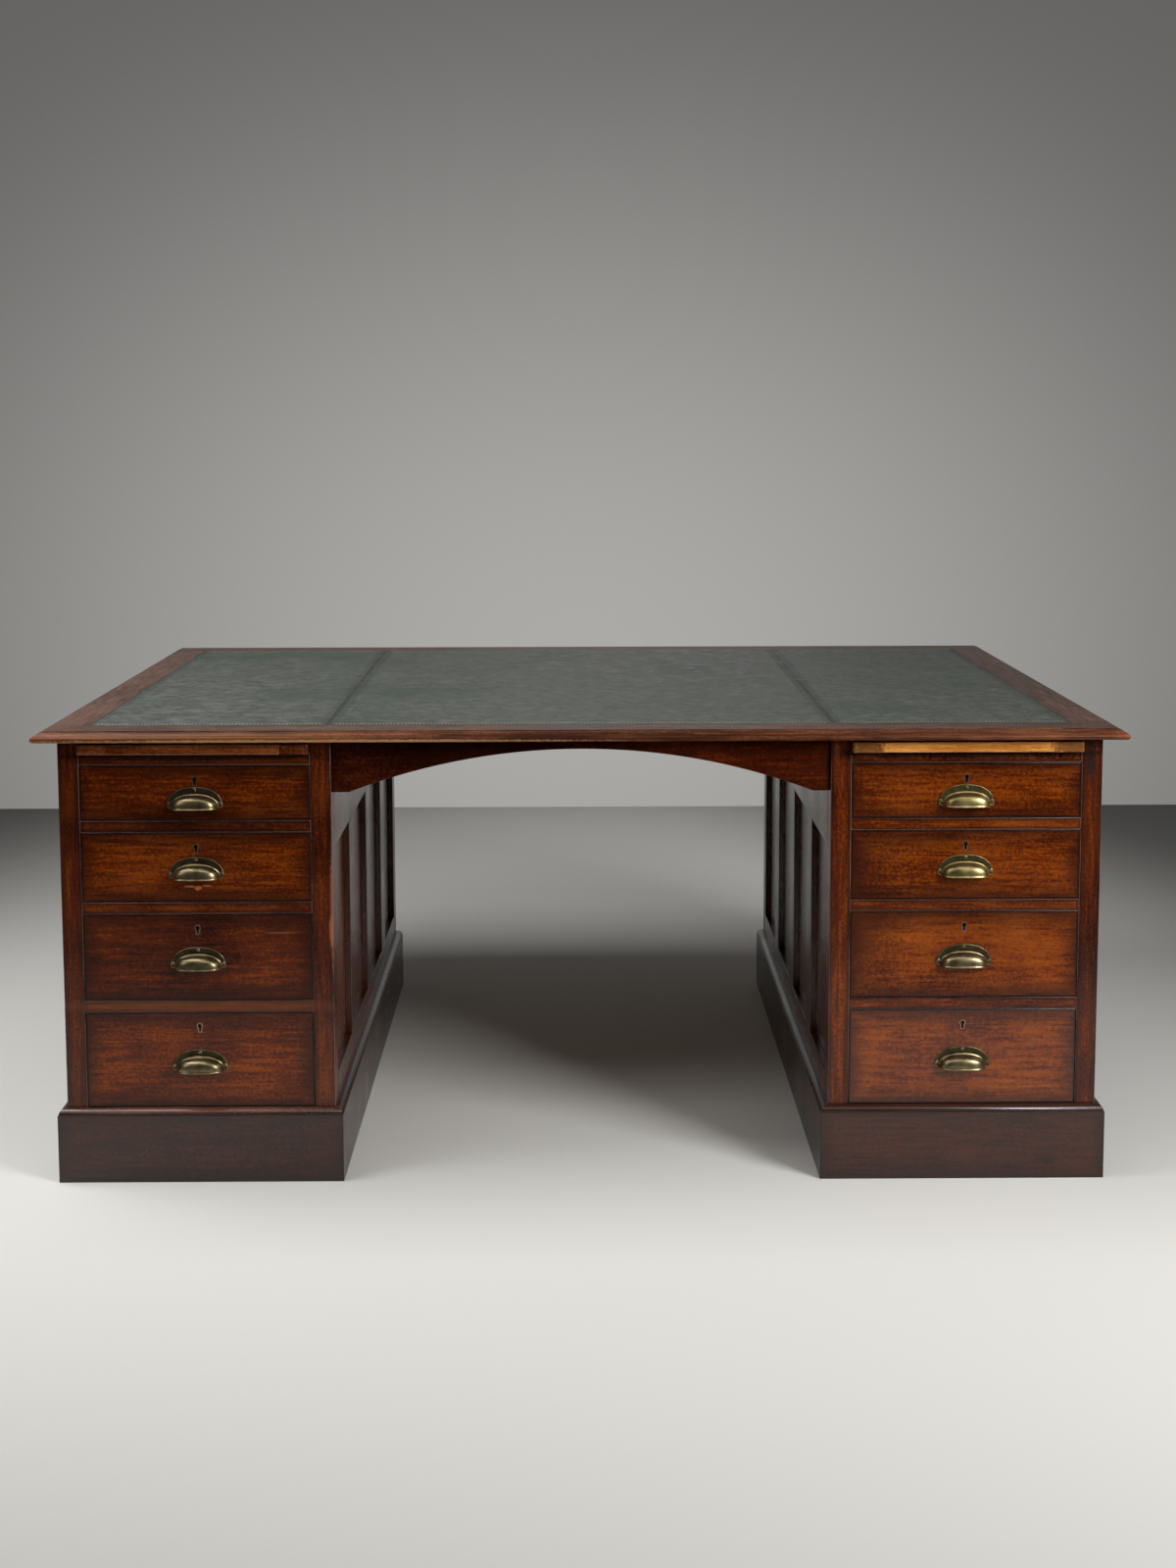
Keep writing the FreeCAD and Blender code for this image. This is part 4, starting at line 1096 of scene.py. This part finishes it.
@dataclass
class DeskTop:
    """The moulded top: border boards, core and three leather panels."""

    finishes: Finishes
    border: BoardLook = field(default_factory=lambda: BoardLook(arris=0.7 * MM, warmth=0.4))
    bead_pitch: float = 6.2 * MM
    bead_inset: float = 11 * MM
    bead_size: tuple[float, float, float] = (3.4 * MM, 13 * MM, 0.25 * MM)
    bead_lift: float = 0.02 * MM
    leathers: tuple[str, ...] = ("leather_left", "leather_centre", "leather_right")

    def build(self) -> None:
        """Build the boards and the leather."""
        for name in ("top_front_board", "top_back_board", "top_left_board", "top_right_board"):
            plane_and_place(name, "carcass", self.border, self.finishes.top_edge, Slot.MAHOGANY)
        plane_and_place("top_core", "carcass", BoardLook(), self.finishes.pine, Slot.PINE)
        for name in self.leathers:
            plane_and_place(name, "carcass", BoardLook(arris=0.5 * MM), self.finishes.leather, Slot.LEATHER)

    def dress(self) -> None:
        """Run the tooling wheel round each leather panel."""
        ends = StampSheet("leather_tooling_ends", "carcass", Slot.LEATHER)
        sides = StampSheet("leather_tooling_sides", "carcass", Slot.LEATHER)
        inset = Vector((self.bead_inset, self.bead_inset, 0))
        for name in self.leathers:
            low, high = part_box(name)
            low = low + inset
            high = high - inset
            for start, end, turn, sheet in (
                ((low.x, low.y), (high.x, low.y), 0.0, ends),
                ((low.x, high.y), (high.x, high.y), 0.0, ends),
                ((low.x, low.y), (low.x, high.y), math.pi / 2, sides),
                ((high.x, low.y), (high.x, high.y), math.pi / 2, sides),
            ):
                run = math.dist(start, end)
                count = round(run / self.bead_pitch)
                for step in range(count):
                    share = (step + 0.5) / count
                    x = start[0] + (end[0] - start[0]) * share
                    y = start[1] + (end[1] - start[1]) * share
                    sheet.at(Vector((x, y, high.z + self.bead_lift)), Euler((0, 0, turn)))
        bead = pressed_bead(*self.bead_size)
        ends.spread(bead, self.finishes.tooling, seed=3, twist=0.0)
        sides.spread(bead, self.finishes.leather_stamped, seed=4, twist=0.0)


@dataclass
class Aprons:
    """The arched boards across the kneehole."""

    finishes: Finishes
    # The board is darkened, partly as painted shade under the top's overhang.
    board: BoardLook = field(default_factory=lambda: BoardLook(warmth=0.3, shade=0.3))

    def build(self) -> None:
        """Build both boards."""
        for name in ("front_apron", "rear_apron"):
            plane_and_place(name, "carcass", self.board, self.finishes.apron, Slot.MAHOGANY)


@dataclass
class Pedestal:
    """One pedestal's fixed woodwork."""

    side: Side
    finishes: Finishes
    darkness: float
    warmth: float = 0.45

    def build(self) -> None:
        """Build the posts, frames, panels, rails and inner boards."""
        post = BoardLook(arris=1.2 * MM, warmth=self.warmth - 0.2, shade=self.darkness, reach=14 * MM)
        side_frame = BoardLook(arris=0.9 * MM, warmth=self.warmth, reach=20 * MM)
        side_panel = BoardLook(arris=0.5 * MM, warmth=self.warmth)
        rail = BoardLook(arris=1.0 * MM, warmth=self.warmth - 0.1, shade=self.darkness, reach=8 * MM)
        inner = BoardLook(arris=0.6 * MM)
        kinds = self.finishes
        looks = (
            ("corner_posts", post, kinds.polished, Slot.MAHOGANY),
            ("side_frames", side_frame, kinds.sides, Slot.MAHOGANY),
            ("side_panels", side_panel, kinds.sides, Slot.MAHOGANY),
            ("cross_rails", rail, kinds.polished, Slot.MAHOGANY),
            ("plinth", BoardLook(warmth=0.4), kinds.plinth, Slot.MAHOGANY),
            ("runners", inner, kinds.pine, Slot.PINE),
            ("inner_boards", inner, kinds.pine, Slot.PINE),
        )
        for part, look, finish, slot in looks:
            plane_and_place(f"{self.side.value}_{part}", "carcass", look, finish, slot)

    def dress(self) -> None:
        """Fit the hinge leaves on the back posts."""
        node = f"{self.side.value}_post_hinge_leaves"
        plane_and_place(node, "carcass", BoardLook(arris=0.3 * MM), self.finishes.old_brass, Slot.BRASS)


@dataclass
class CupPull:
    """A cast cup pull: a flat flange with a hollow half dome on it."""

    flange_width: float = 95 * MM
    flange_height: float = 36 * MM
    flange_thick: float = 2 * MM
    cup_width: float = 83 * MM
    cup_reach: float = 25 * MM
    cup_height: float = 24 * MM
    cup_lift: float = -0.5 * MM
    ear_radius: float = 4.5 * MM
    wall: float = 1.8 * MM
    steps: int = 30
    # Screws across the flange and up from its foot, and how deep they sit as a share of its thickness.
    screws: tuple[tuple[float, float], ...] = ((0.0, 31 * MM), (43.6 * MM, 8 * MM), (-43.6 * MM, 8 * MM))
    screw_seat: float = 0.8
    screw_radius: float = 3 * MM
    # Dirt all over the cup, how fast it grows towards the flange and from where, and dirt inside the lip.
    dirt: float = 0.1
    dirt_growth: float = 0.7
    dirt_reach: float = 0.35
    lip_dirt: float = 0.6
    # Each level of the cup: how far forward, how high and how wide it is, as shares of the reach, the height
    # and the width. The first five turn over the ridge where the cup leaves the flange, the last four roll
    # the lip.
    levels: tuple[tuple[float, float, float], ...] = (
        (0.03, 1.06, 1.0),
        (0.15, 1.06, 1.0),
        (0.19, 1.03, 0.985),
        (0.205, 0.975, 0.972),
        (0.24, 0.945, 0.962),
        (0.36, 0.945, 0.957),
        (0.54, 0.93, 0.952),
        (0.7, 0.88, 0.945),
        (0.83, 0.78, 0.94),
        (0.92, 0.62, 0.938),
        (0.965, 0.4, 0.936),
        (0.98, 0.2, 0.935),
        (0.985, 0.12, 0.936),
        (1.02, 0.09, 0.95),
        (1.03, 0.06, 0.955),
        (1.02, 0.03, 0.95),
    )
    # Each line of the flange's bead: how far in and how far out it lies, as millimetres and as a share of the
    # thickness, and how dirty it is. Hands rub the bead, and dirt stays in the hollow behind it.
    bead: tuple[tuple[float, float, float], ...] = (
        (0.0, 0.0, 0.8),
        (0.0, 0.8, 0.6),
        (0.4, 1.15, 0.35),
        (1.1, 1.25, 0.4),
        (1.9, 1.1, 0.9),
        (2.5, 0.8, 1.2),
    )

    @staticmethod
    def arch(width: float, height: float, steps: int) -> list[tuple[float, float]]:
        """Draw an arch over a straight foot.

        Args:
            width: Width at the foot.
            height: Height in the middle.
            steps: Number of pieces along the arch.

        Returns:
            Points from the right foot over the top to the left foot.
        """
        points = []
        for step in range(steps + 1):
            angle = math.pi * step / steps
            # Powers below one fill out the arch's shoulders.
            across = math.copysign(abs(math.cos(angle)) ** 0.85, math.cos(angle))
            points.append((width / 2 * across, height * math.sin(angle) ** 0.9))
        return points

    def eared(self, width: float, height: float, gap: float) -> list[tuple[float, float]]:
        """Draw the flange's arch with its two foot corners rounded.

        Args:
            width: Width at the foot.
            height: Height in the middle.
            gap: How far inside the outermost line it lies.

        Returns:
            Points from the right foot over the top to the left foot.
        """
        radius = self.ear_radius - gap
        corner = []
        for step in range(3):
            angle = math.radians(-90 + 30 * step)
            corner.append((width / 2 - radius + radius * math.cos(angle), radius + radius * math.sin(angle)))
        middle = self.arch(width, height, self.steps)[1:-1]
        return corner + middle + [(-x, z) for x, z in reversed(corner)]

    def shell(self, mesh: BMesh, foot: Vector, inset: float, inward: bool) -> list:
        """Carry the cup's arch forwards from level to level.

        Args:
            mesh: Mesh that takes the faces.
            foot: Middle of the pull's foot on the drawer's face.
            inset: How far inside the outer skin it lies.
            inward: Whether the faces look into the cup.

        Returns:
            The row of points along the lip.
        """
        rows = []
        low = foot + Vector((0, 0, self.cup_lift))
        for forth, up, wide in self.levels:
            width = self.cup_width * wide - 2 * inset
            row = []
            for x, high in self.arch(width, self.cup_height - inset, self.steps):
                # Seen from above the cup has a flatter front than its arch.
                out = (self.cup_reach - inset) * max(0.0, 1 - abs(2 * x / width) ** 3) ** (1 / 3)
                row.append(mesh.verts.new(low + Vector((x, -out * forth, high * up))))
            rows.append(row)
        for face in skin(mesh, rows[::-1] if inward else rows, False):
            face.smooth = True
        return rows[-1]

    def build(self, mesh: BMesh, foot: Vector) -> None:
        """Add the pull to a mesh.

        Args:
            mesh: Mesh that takes the faces; it has a float layer on points named patina.
            foot: Middle of the pull's foot on the drawer's face.
        """
        patina = mesh.verts.layers.float["patina"]
        outer = self.shell(mesh, foot, 0.0, False)
        inner = self.shell(mesh, foot, self.wall, True)
        skin(mesh, (outer, inner), False)
        for vertex in mesh.verts:
            forth = (foot.y - vertex.co.y) / self.cup_reach
            vertex[patina] = self.dirt + self.dirt_growth * max(0.0, self.dirt_reach - forth)
        for vertex in inner:
            vertex[patina] = self.lip_dirt
        rings = []
        for inset, depth, dirt in self.bead:
            gap = inset * MM
            ring = []
            for x, z in self.eared(self.flange_width - 2 * gap, self.flange_height - 2 * gap, gap):
                point = mesh.verts.new(foot + Vector((x, -self.flange_thick * depth, z + gap)))
                point[patina] = dirt
                ring.append(point)
            rings.append(ring)
        # Each ring closes along the straight foot, which stays flat.
        for number, face in enumerate(skin(mesh, rings, True)):
            face.smooth = number % len(rings[0]) > 0
        mesh.faces.new(rings[-1])


def keyhole_outline(head: float, slot: float, drop: float) -> list[tuple[float, float]]:
    """Draw a keyhole about the centre of its head.

    Args:
        head: Radius of the round head.
        slot: Width of the slot.
        drop: Depth of the slot below the head's centre.

    Returns:
        Points anticlockwise as seen from the front, starting at the slot's foot.
    """
    steps = 12
    start = math.asin(slot / 2 / head)
    points = [(-slot / 2, -drop), (slot / 2, -drop)]
    for step in range(steps + 1):
        angle = -math.pi / 2 + start + (2 * math.pi - 2 * start) * step / steps
        points.append((head * math.cos(angle), head * math.sin(angle)))
    return points


@dataclass
class KeyRim:
    """A thin brass lining let in round a keyhole."""

    head: float = 4 * MM
    slot: float = 4 * MM
    drop: float = 10 * MM
    width: float = 1.5 * MM
    proud: float = 0.2 * MM
    depth: float = 3 * MM
    lap: float = 0.3 * MM
    dirt: float = 0.2

    def build(self, mesh: BMesh, centre: Vector, outward: float) -> None:
        """Add the rim to a mesh.

        Args:
            mesh: Mesh that takes the faces; it has a float layer on points named patina.
            centre: Centre of the keyhole's head on the face.
            outward: -1 where the face looks to -Y, 1 where it looks to +Y.
        """
        patina = mesh.verts.layers.float["patina"]
        inner = keyhole_outline(self.head - self.lap, self.slot - 2 * self.lap, self.drop - self.lap)
        outer = keyhole_outline(self.head + self.width, self.slot + 2 * self.width, self.drop + self.width)
        section = ((inner, self.depth), (inner, -self.proud), (outer, -self.proud), (outer, self.depth))
        loops = []
        for outline, back in section:
            loop = []
            for x, z in outline:
                point = mesh.verts.new(centre + Vector((-x * outward, -back * outward, z)))
                point[patina] = self.dirt
                loop.append(point)
            loops.append(loop)
        skin(mesh, loops + loops[:1], True)


def add_key_rim(body: str, rim: KeyRim, centre: Vector, outward: float, finishes: Finishes) -> None:
    """Let a rim in round a keyhole.

    Args:
        body: CAD body that has the keyhole, and the start of the piece's name.
        rim: The rim's sizes.
        centre: Centre of the keyhole's head on the face.
        outward: -1 where the face looks to -Y, 1 where it looks to +Y.
        finishes: The desk's finishes.
    """
    mesh = bmesh.new()
    mesh.verts.layers.float.new("patina")
    rim.build(mesh, centre, outward)
    bmesh.ops.recalc_face_normals(mesh, faces=mesh.faces[:])
    piece = object_from(f"{body}_key_rim", mesh, finishes.rim)
    place_piece(piece, body, (), Slot.BRASS)


@dataclass
class Drawer:
    """One drawer: its front, lined box, pull, lock and screws."""

    side: Side
    number: int
    finishes: Finishes
    warmth: float
    face: float = -574 * MM
    middle: float = 650 * MM
    lock_arris: float = 0.3 * MM
    lock_dirt: float = 0.6
    screw_seed: int = 7
    pull: CupPull = field(default_factory=CupPull)
    rim: KeyRim = field(default_factory=KeyRim)

    @property
    def name(self) -> str:
        """Give the drawer's CAD name."""
        return f"{self.side.value}_drawer_{self.number}"

    @property
    def centre(self) -> float:
        """Give the drawer's place across the desk."""
        return self.side.sign * self.middle

    def build(self) -> None:
        """Build the front and the box behind it."""
        mirrors = self.side is Side.RIGHT and self.number == LOWEST_DRAWER
        finish = self.finishes.low_front if mirrors else self.finishes.fronts
        front = BoardLook(warmth=self.warmth, reach=40 * MM)
        plane_and_place(f"{self.name}_front", self.name, front, finish, Slot.MAHOGANY)
        box = BoardLook(arris=0.5 * MM)
        plane_and_place(f"{self.name}_box", self.name, box, self.finishes.oak, Slot.OAK)

    def dress(self, screw: Object) -> None:
        """Fit the pull, keyhole rim, lock and screws.

        Args:
            screw: The screw's shape.
        """
        mesh = bmesh.new()
        mesh.verts.layers.float.new("patina")
        foot = Vector((self.centre, self.face, PULL_LOWS[self.number - 1]))
        self.pull.build(mesh, foot)
        self.add_lock(mesh)
        bmesh.ops.recalc_face_normals(mesh, faces=mesh.faces[:])
        handled = self.side is Side.RIGHT and self.number in HANDLED_DRAWERS
        metal = self.finishes.gold_brass if handled else self.finishes.brass
        piece = object_from(f"{self.name}_fittings_piece", mesh, metal)
        place_piece(piece, self.name, (f"{self.name}_fittings",), Slot.BRASS)
        key_centre = Vector((self.centre, self.face, KEY_HEIGHTS[self.number - 1]))
        add_key_rim(self.name, self.rim, key_centre, -1.0, self.finishes)
        sheet = StampSheet(f"{self.name}_screws", self.name, Slot.BRASS)
        facing = Euler((math.pi / 2, 0, 0))
        for x, z in self.pull.screws:
            sheet.at(foot + Vector((x, -self.pull.screw_seat * self.pull.flange_thick, z)), facing)
        sheet.spread(screw, metal, seed=self.number + self.screw_seed, twist=math.pi)

    def add_lock(self, mesh: BMesh) -> None:
        """Add the lock case behind the keyhole.

        Args:
            mesh: Mesh that takes the faces.
        """
        patina = mesh.verts.layers.float["patina"]
        boards = boards_of(f"{self.name}_fittings")
        lock = max(boards, key=lambda board: board.box()[1].y)
        rounded, _ = lock.rounded(self.lock_arris)
        copies = {}
        for vertex in rounded.verts:
            copies[vertex] = mesh.verts.new(vertex.co)
            copies[vertex][patina] = self.lock_dirt
        for face in rounded.faces:
            mesh.faces.new([copies[v] for v in face.verts])
        rounded.free()


@dataclass
class WritingSlide:
    """A pull-out slide with a cleat across each end."""

    side: Side
    finishes: Finishes
    warmth: float
    cleat_shade: float
    cleat_limit: float = 60 * MM
    arris: float = 1.2 * MM
    reach: float = 6 * MM

    def look(self, size: Vector) -> BoardLook:
        """Give a board's look: the narrow cleats run front to back, the board between them runs across.

        Args:
            size: The board's size.

        Returns:
            Its rounding, tone and grain.
        """
        if size.x < self.cleat_limit:
            return BoardLook(self.arris, self.warmth - 0.1, self.cleat_shade, self.reach, along=1)
        return BoardLook(self.arris, self.warmth, 0.0, self.reach, along=0)

    def build(self) -> None:
        """Build the board and its cleats."""
        node = f"{self.side.value}_slide"
        finish = self.finishes.worn_slide if self.side is Side.LEFT else self.finishes.slide
        plane_and_place(node, f"{self.side.value}_writing_slide", self.look, finish, Slot.MAHOGANY)


@dataclass
class CupboardDoor:
    """A framed and panelled door on the far side."""

    side: Side
    finishes: Finishes
    warmth: float = 0.5
    face: float = 574 * MM
    key_across: float = 475 * MM
    key_height: float = 480 * MM
    rim: KeyRim = field(default_factory=KeyRim)

    def build(self) -> None:
        """Build the frame and the panel."""
        name = f"{self.side.value}_door"
        look = BoardLook(warmth=self.warmth)
        for part in ("frame", "panel"):
            plane_and_place(f"{name}_{part}", name, look, self.finishes.polished, Slot.MAHOGANY)

    def dress(self) -> None:
        """Fit the hinge leaves, the lock and its rim."""
        name = f"{self.side.value}_door"
        look = BoardLook(arris=0.3 * MM)
        for part in ("lock", "hinge_leaves"):
            plane_and_place(f"{name}_{part}", name, look, self.finishes.old_brass, Slot.BRASS)
        key_centre = Vector((self.side.sign * self.key_across, self.face, self.key_height))
        add_key_rim(name, self.rim, key_centre, 1.0, self.finishes)


@dataclass(frozen=True)
class SoftBox:
    """A soft light: where it hangs, where it points, its width and height, and its power."""

    name: str
    place: tuple[float, float, float]
    aim: tuple[float, float, float]
    size: tuple[float, float]
    watts: float

    def hang(self) -> None:
        """Add the light to the scene."""
        data = bpy.data.lights.new(self.name, "AREA")
        data.shape = "RECTANGLE"
        data.size, data.size_y = self.size
        data.energy = self.watts
        lamp = put(self.name, data)
        lamp.location = self.place
        lamp.rotation_mode = "QUATERNION"
        lamp.rotation_quaternion = (Vector(self.aim) - Vector(self.place)).to_track_quat("-Z", "Y")


@dataclass
class Studio:
    """Camera, paper floor and wall, and soft lights."""

    eye: Vector = field(default_factory=lambda: Vector((-0.0111, -3.8375, 1.3019)))
    pitch: float = math.radians(5.85)
    yaw: float = math.radians(0.41)
    roll: float = math.radians(-0.13)
    lens: float = 45.14
    shift: float = -0.1066
    sensor: float = 36.0
    farthest: float = 100.0
    floor_z: float = -0.2 * MM
    wall_y: float = 2.64
    wall_foot: float = -10 * MM
    wall_head: float = 6.0
    paper_reach: float = 9.0
    room_colour: str = "#8c8c8a"
    room_strength: float = 0.14
    lights: tuple[SoftBox, ...] = (
        SoftBox("key_left", (-1.6, -0.5, 2.6), (-1.0, -0.5, 0.0), (1.3, 1.3), 50.0),
        SoftBox("front_right", (2.4, -2.4, 1.9), (0.2, -0.6, 0.3), (1.2, 1.2), 88.0),
        SoftBox("over_front", (0.0, -1.9, 2.7), (0.0, -0.7, 0.2), (3.2, 0.7), 15.0),
        SoftBox("front_left", (-2.6, -2.2, 2.0), (-0.2, -0.6, 0.3), (1.0, 1.0), 8.0),
        SoftBox("back_floor", (0.2, 2.5, 1.5), (0.1, 2.5, 0.0), (1.0, 1.0), 3.2),
    )

    def build(self) -> None:
        """Set up the whole studio."""
        self.add_camera()
        self.add_paper()
        self.add_lights()
        bpy.context.scene.view_settings.view_transform = "Standard"

    def add_camera(self) -> None:
        """Stand the camera at the picture's viewpoint."""
        data = bpy.data.cameras.new("camera")
        data.lens = self.lens
        data.sensor_width = self.sensor
        data.shift_y = self.shift
        data.clip_end = self.farthest
        camera = put("camera", data)
        ahead = Vector(
            (
                math.sin(self.yaw) * math.cos(self.pitch),
                math.cos(self.yaw) * math.cos(self.pitch),
                -math.sin(self.pitch),
            )
        )
        right = Vector((math.cos(self.yaw), -math.sin(self.yaw), 0.0))
        up = right.cross(ahead)
        turned = right * math.cos(self.roll) + up * math.sin(self.roll)
        top = turned.cross(ahead)
        basis = Matrix((turned, top, -ahead)).transposed()
        camera.matrix_world = Matrix.Translation(self.eye) @ basis.to_4x4()
        bpy.context.scene.camera = camera

    def add_paper(self) -> None:
        """Lay the floor and hang the wall."""
        # Painted shade: the floor greys away from the desk and behind it, where the light falls off.
        corners = Fade("#7d7c79", (-0.15, -1.0, 0.0), (2.6, 5.2, 1.0), 0.5)
        # Painted shade: the camera sees the floor greyer towards the front.
        near_front = Fade("#a3a29e", (0.0, 3.0, 0.0), (12.0, 6.1, 1.0), 0.565, Sight.CAMERA)
        # Painted reflection: the drawers see the floor painted dark, standing in for a dark room in front.
        room = Fade("#2c2c2b", (0.0, 3.0, 0.0), (12.0, 4.98, 1.0), 0.91, Sight.REFLECTIONS)
        floor_paper = StudioPaper("paper_floor_white_matt", "#e2e1dc", (corners, near_front, room)).make()
        # Painted shade: the wall greys towards its edges and top.
        dusk = Fade("#656462", (0.0, self.wall_y, 0.5), (3.5, 1.0, 2.62))
        wall_paper = StudioPaper("paper_wall_grey_matt", "#abaaa7", (dusk,), True).make()
        far = self.paper_reach
        floor = [(x, y, self.floor_z) for x, y in ((-far, -far), (far, -far), (far, far), (-far, far))]
        foot = self.wall_foot
        head = self.wall_head
        wall = [(x, self.wall_y, z) for x, z in ((-far, foot), (far, foot), (far, head), (-far, head))]
        sheets = (("studio_floor", floor, floor_paper), ("studio_wall", wall, wall_paper))
        for name, outline, paper in sheets:
            data = bpy.data.meshes.new(name)
            data.from_pydata(outline, [], [(0, 1, 2, 3)])
            data.materials.append(paper)
            sheet = put(name, data)

    def add_lights(self) -> None:
        """Hang the soft boxes and set the room's own light."""
        for box in self.lights:
            box.hang()
        world = bpy.data.worlds.new("studio_room")
        world.use_nodes = True
        background = world.node_tree.nodes["Background"]
        background.inputs["Color"].default_value = linear(self.room_colour)
        background.inputs["Strength"].default_value = self.room_strength
        bpy.context.scene.world = world


@dataclass(frozen=True)
class SideLook:
    """How one pedestal's wood is painted apart from the other's, with its drawers from the top down; the left
    is darker, partly its own tone and partly painted shade as the light falls from the front right.
    """

    side: Side
    darkness: float
    drawer_warmth: tuple[float, float, float, float]
    slide_warmth: float
    cleat_shade: float


# Painted shade: the left pedestal and its drawers are painted darker than the right ones, partly their own
# tone, as the light falls from the front right.
SIDE_LOOKS = (
    SideLook(Side.LEFT, 0.3, (0.33, 0.5, 0.26, 0.28), 0.42, 0.0),
    SideLook(Side.RIGHT, 0.06, (0.52, 0.58, 0.52, 0.5), 1.1, 0.2),
)


def main() -> None:
    """Build the desk, dress it and set up the studio."""
    logging.basicConfig(level=logging.INFO, format="%(message)s")
    finishes = Finishes.make()
    screw = domed_screw(CupPull.screw_radius)
    top = DeskTop(finishes)
    top.build()
    top.dress()
    Aprons(finishes).build()
    for look in SIDE_LOOKS:
        pedestal = Pedestal(look.side, finishes, look.darkness)
        pedestal.build()
        pedestal.dress()
        for number, warmth in enumerate(look.drawer_warmth, 1):
            drawer = Drawer(look.side, number, finishes, warmth)
            drawer.build()
            drawer.dress(screw)
        WritingSlide(look.side, finishes, look.slide_warmth, look.cleat_shade).build()
        door = CupboardDoor(look.side, finishes)
        door.build()
        door.dress()
    Studio().build()


if __name__ == "__main__":
    main()
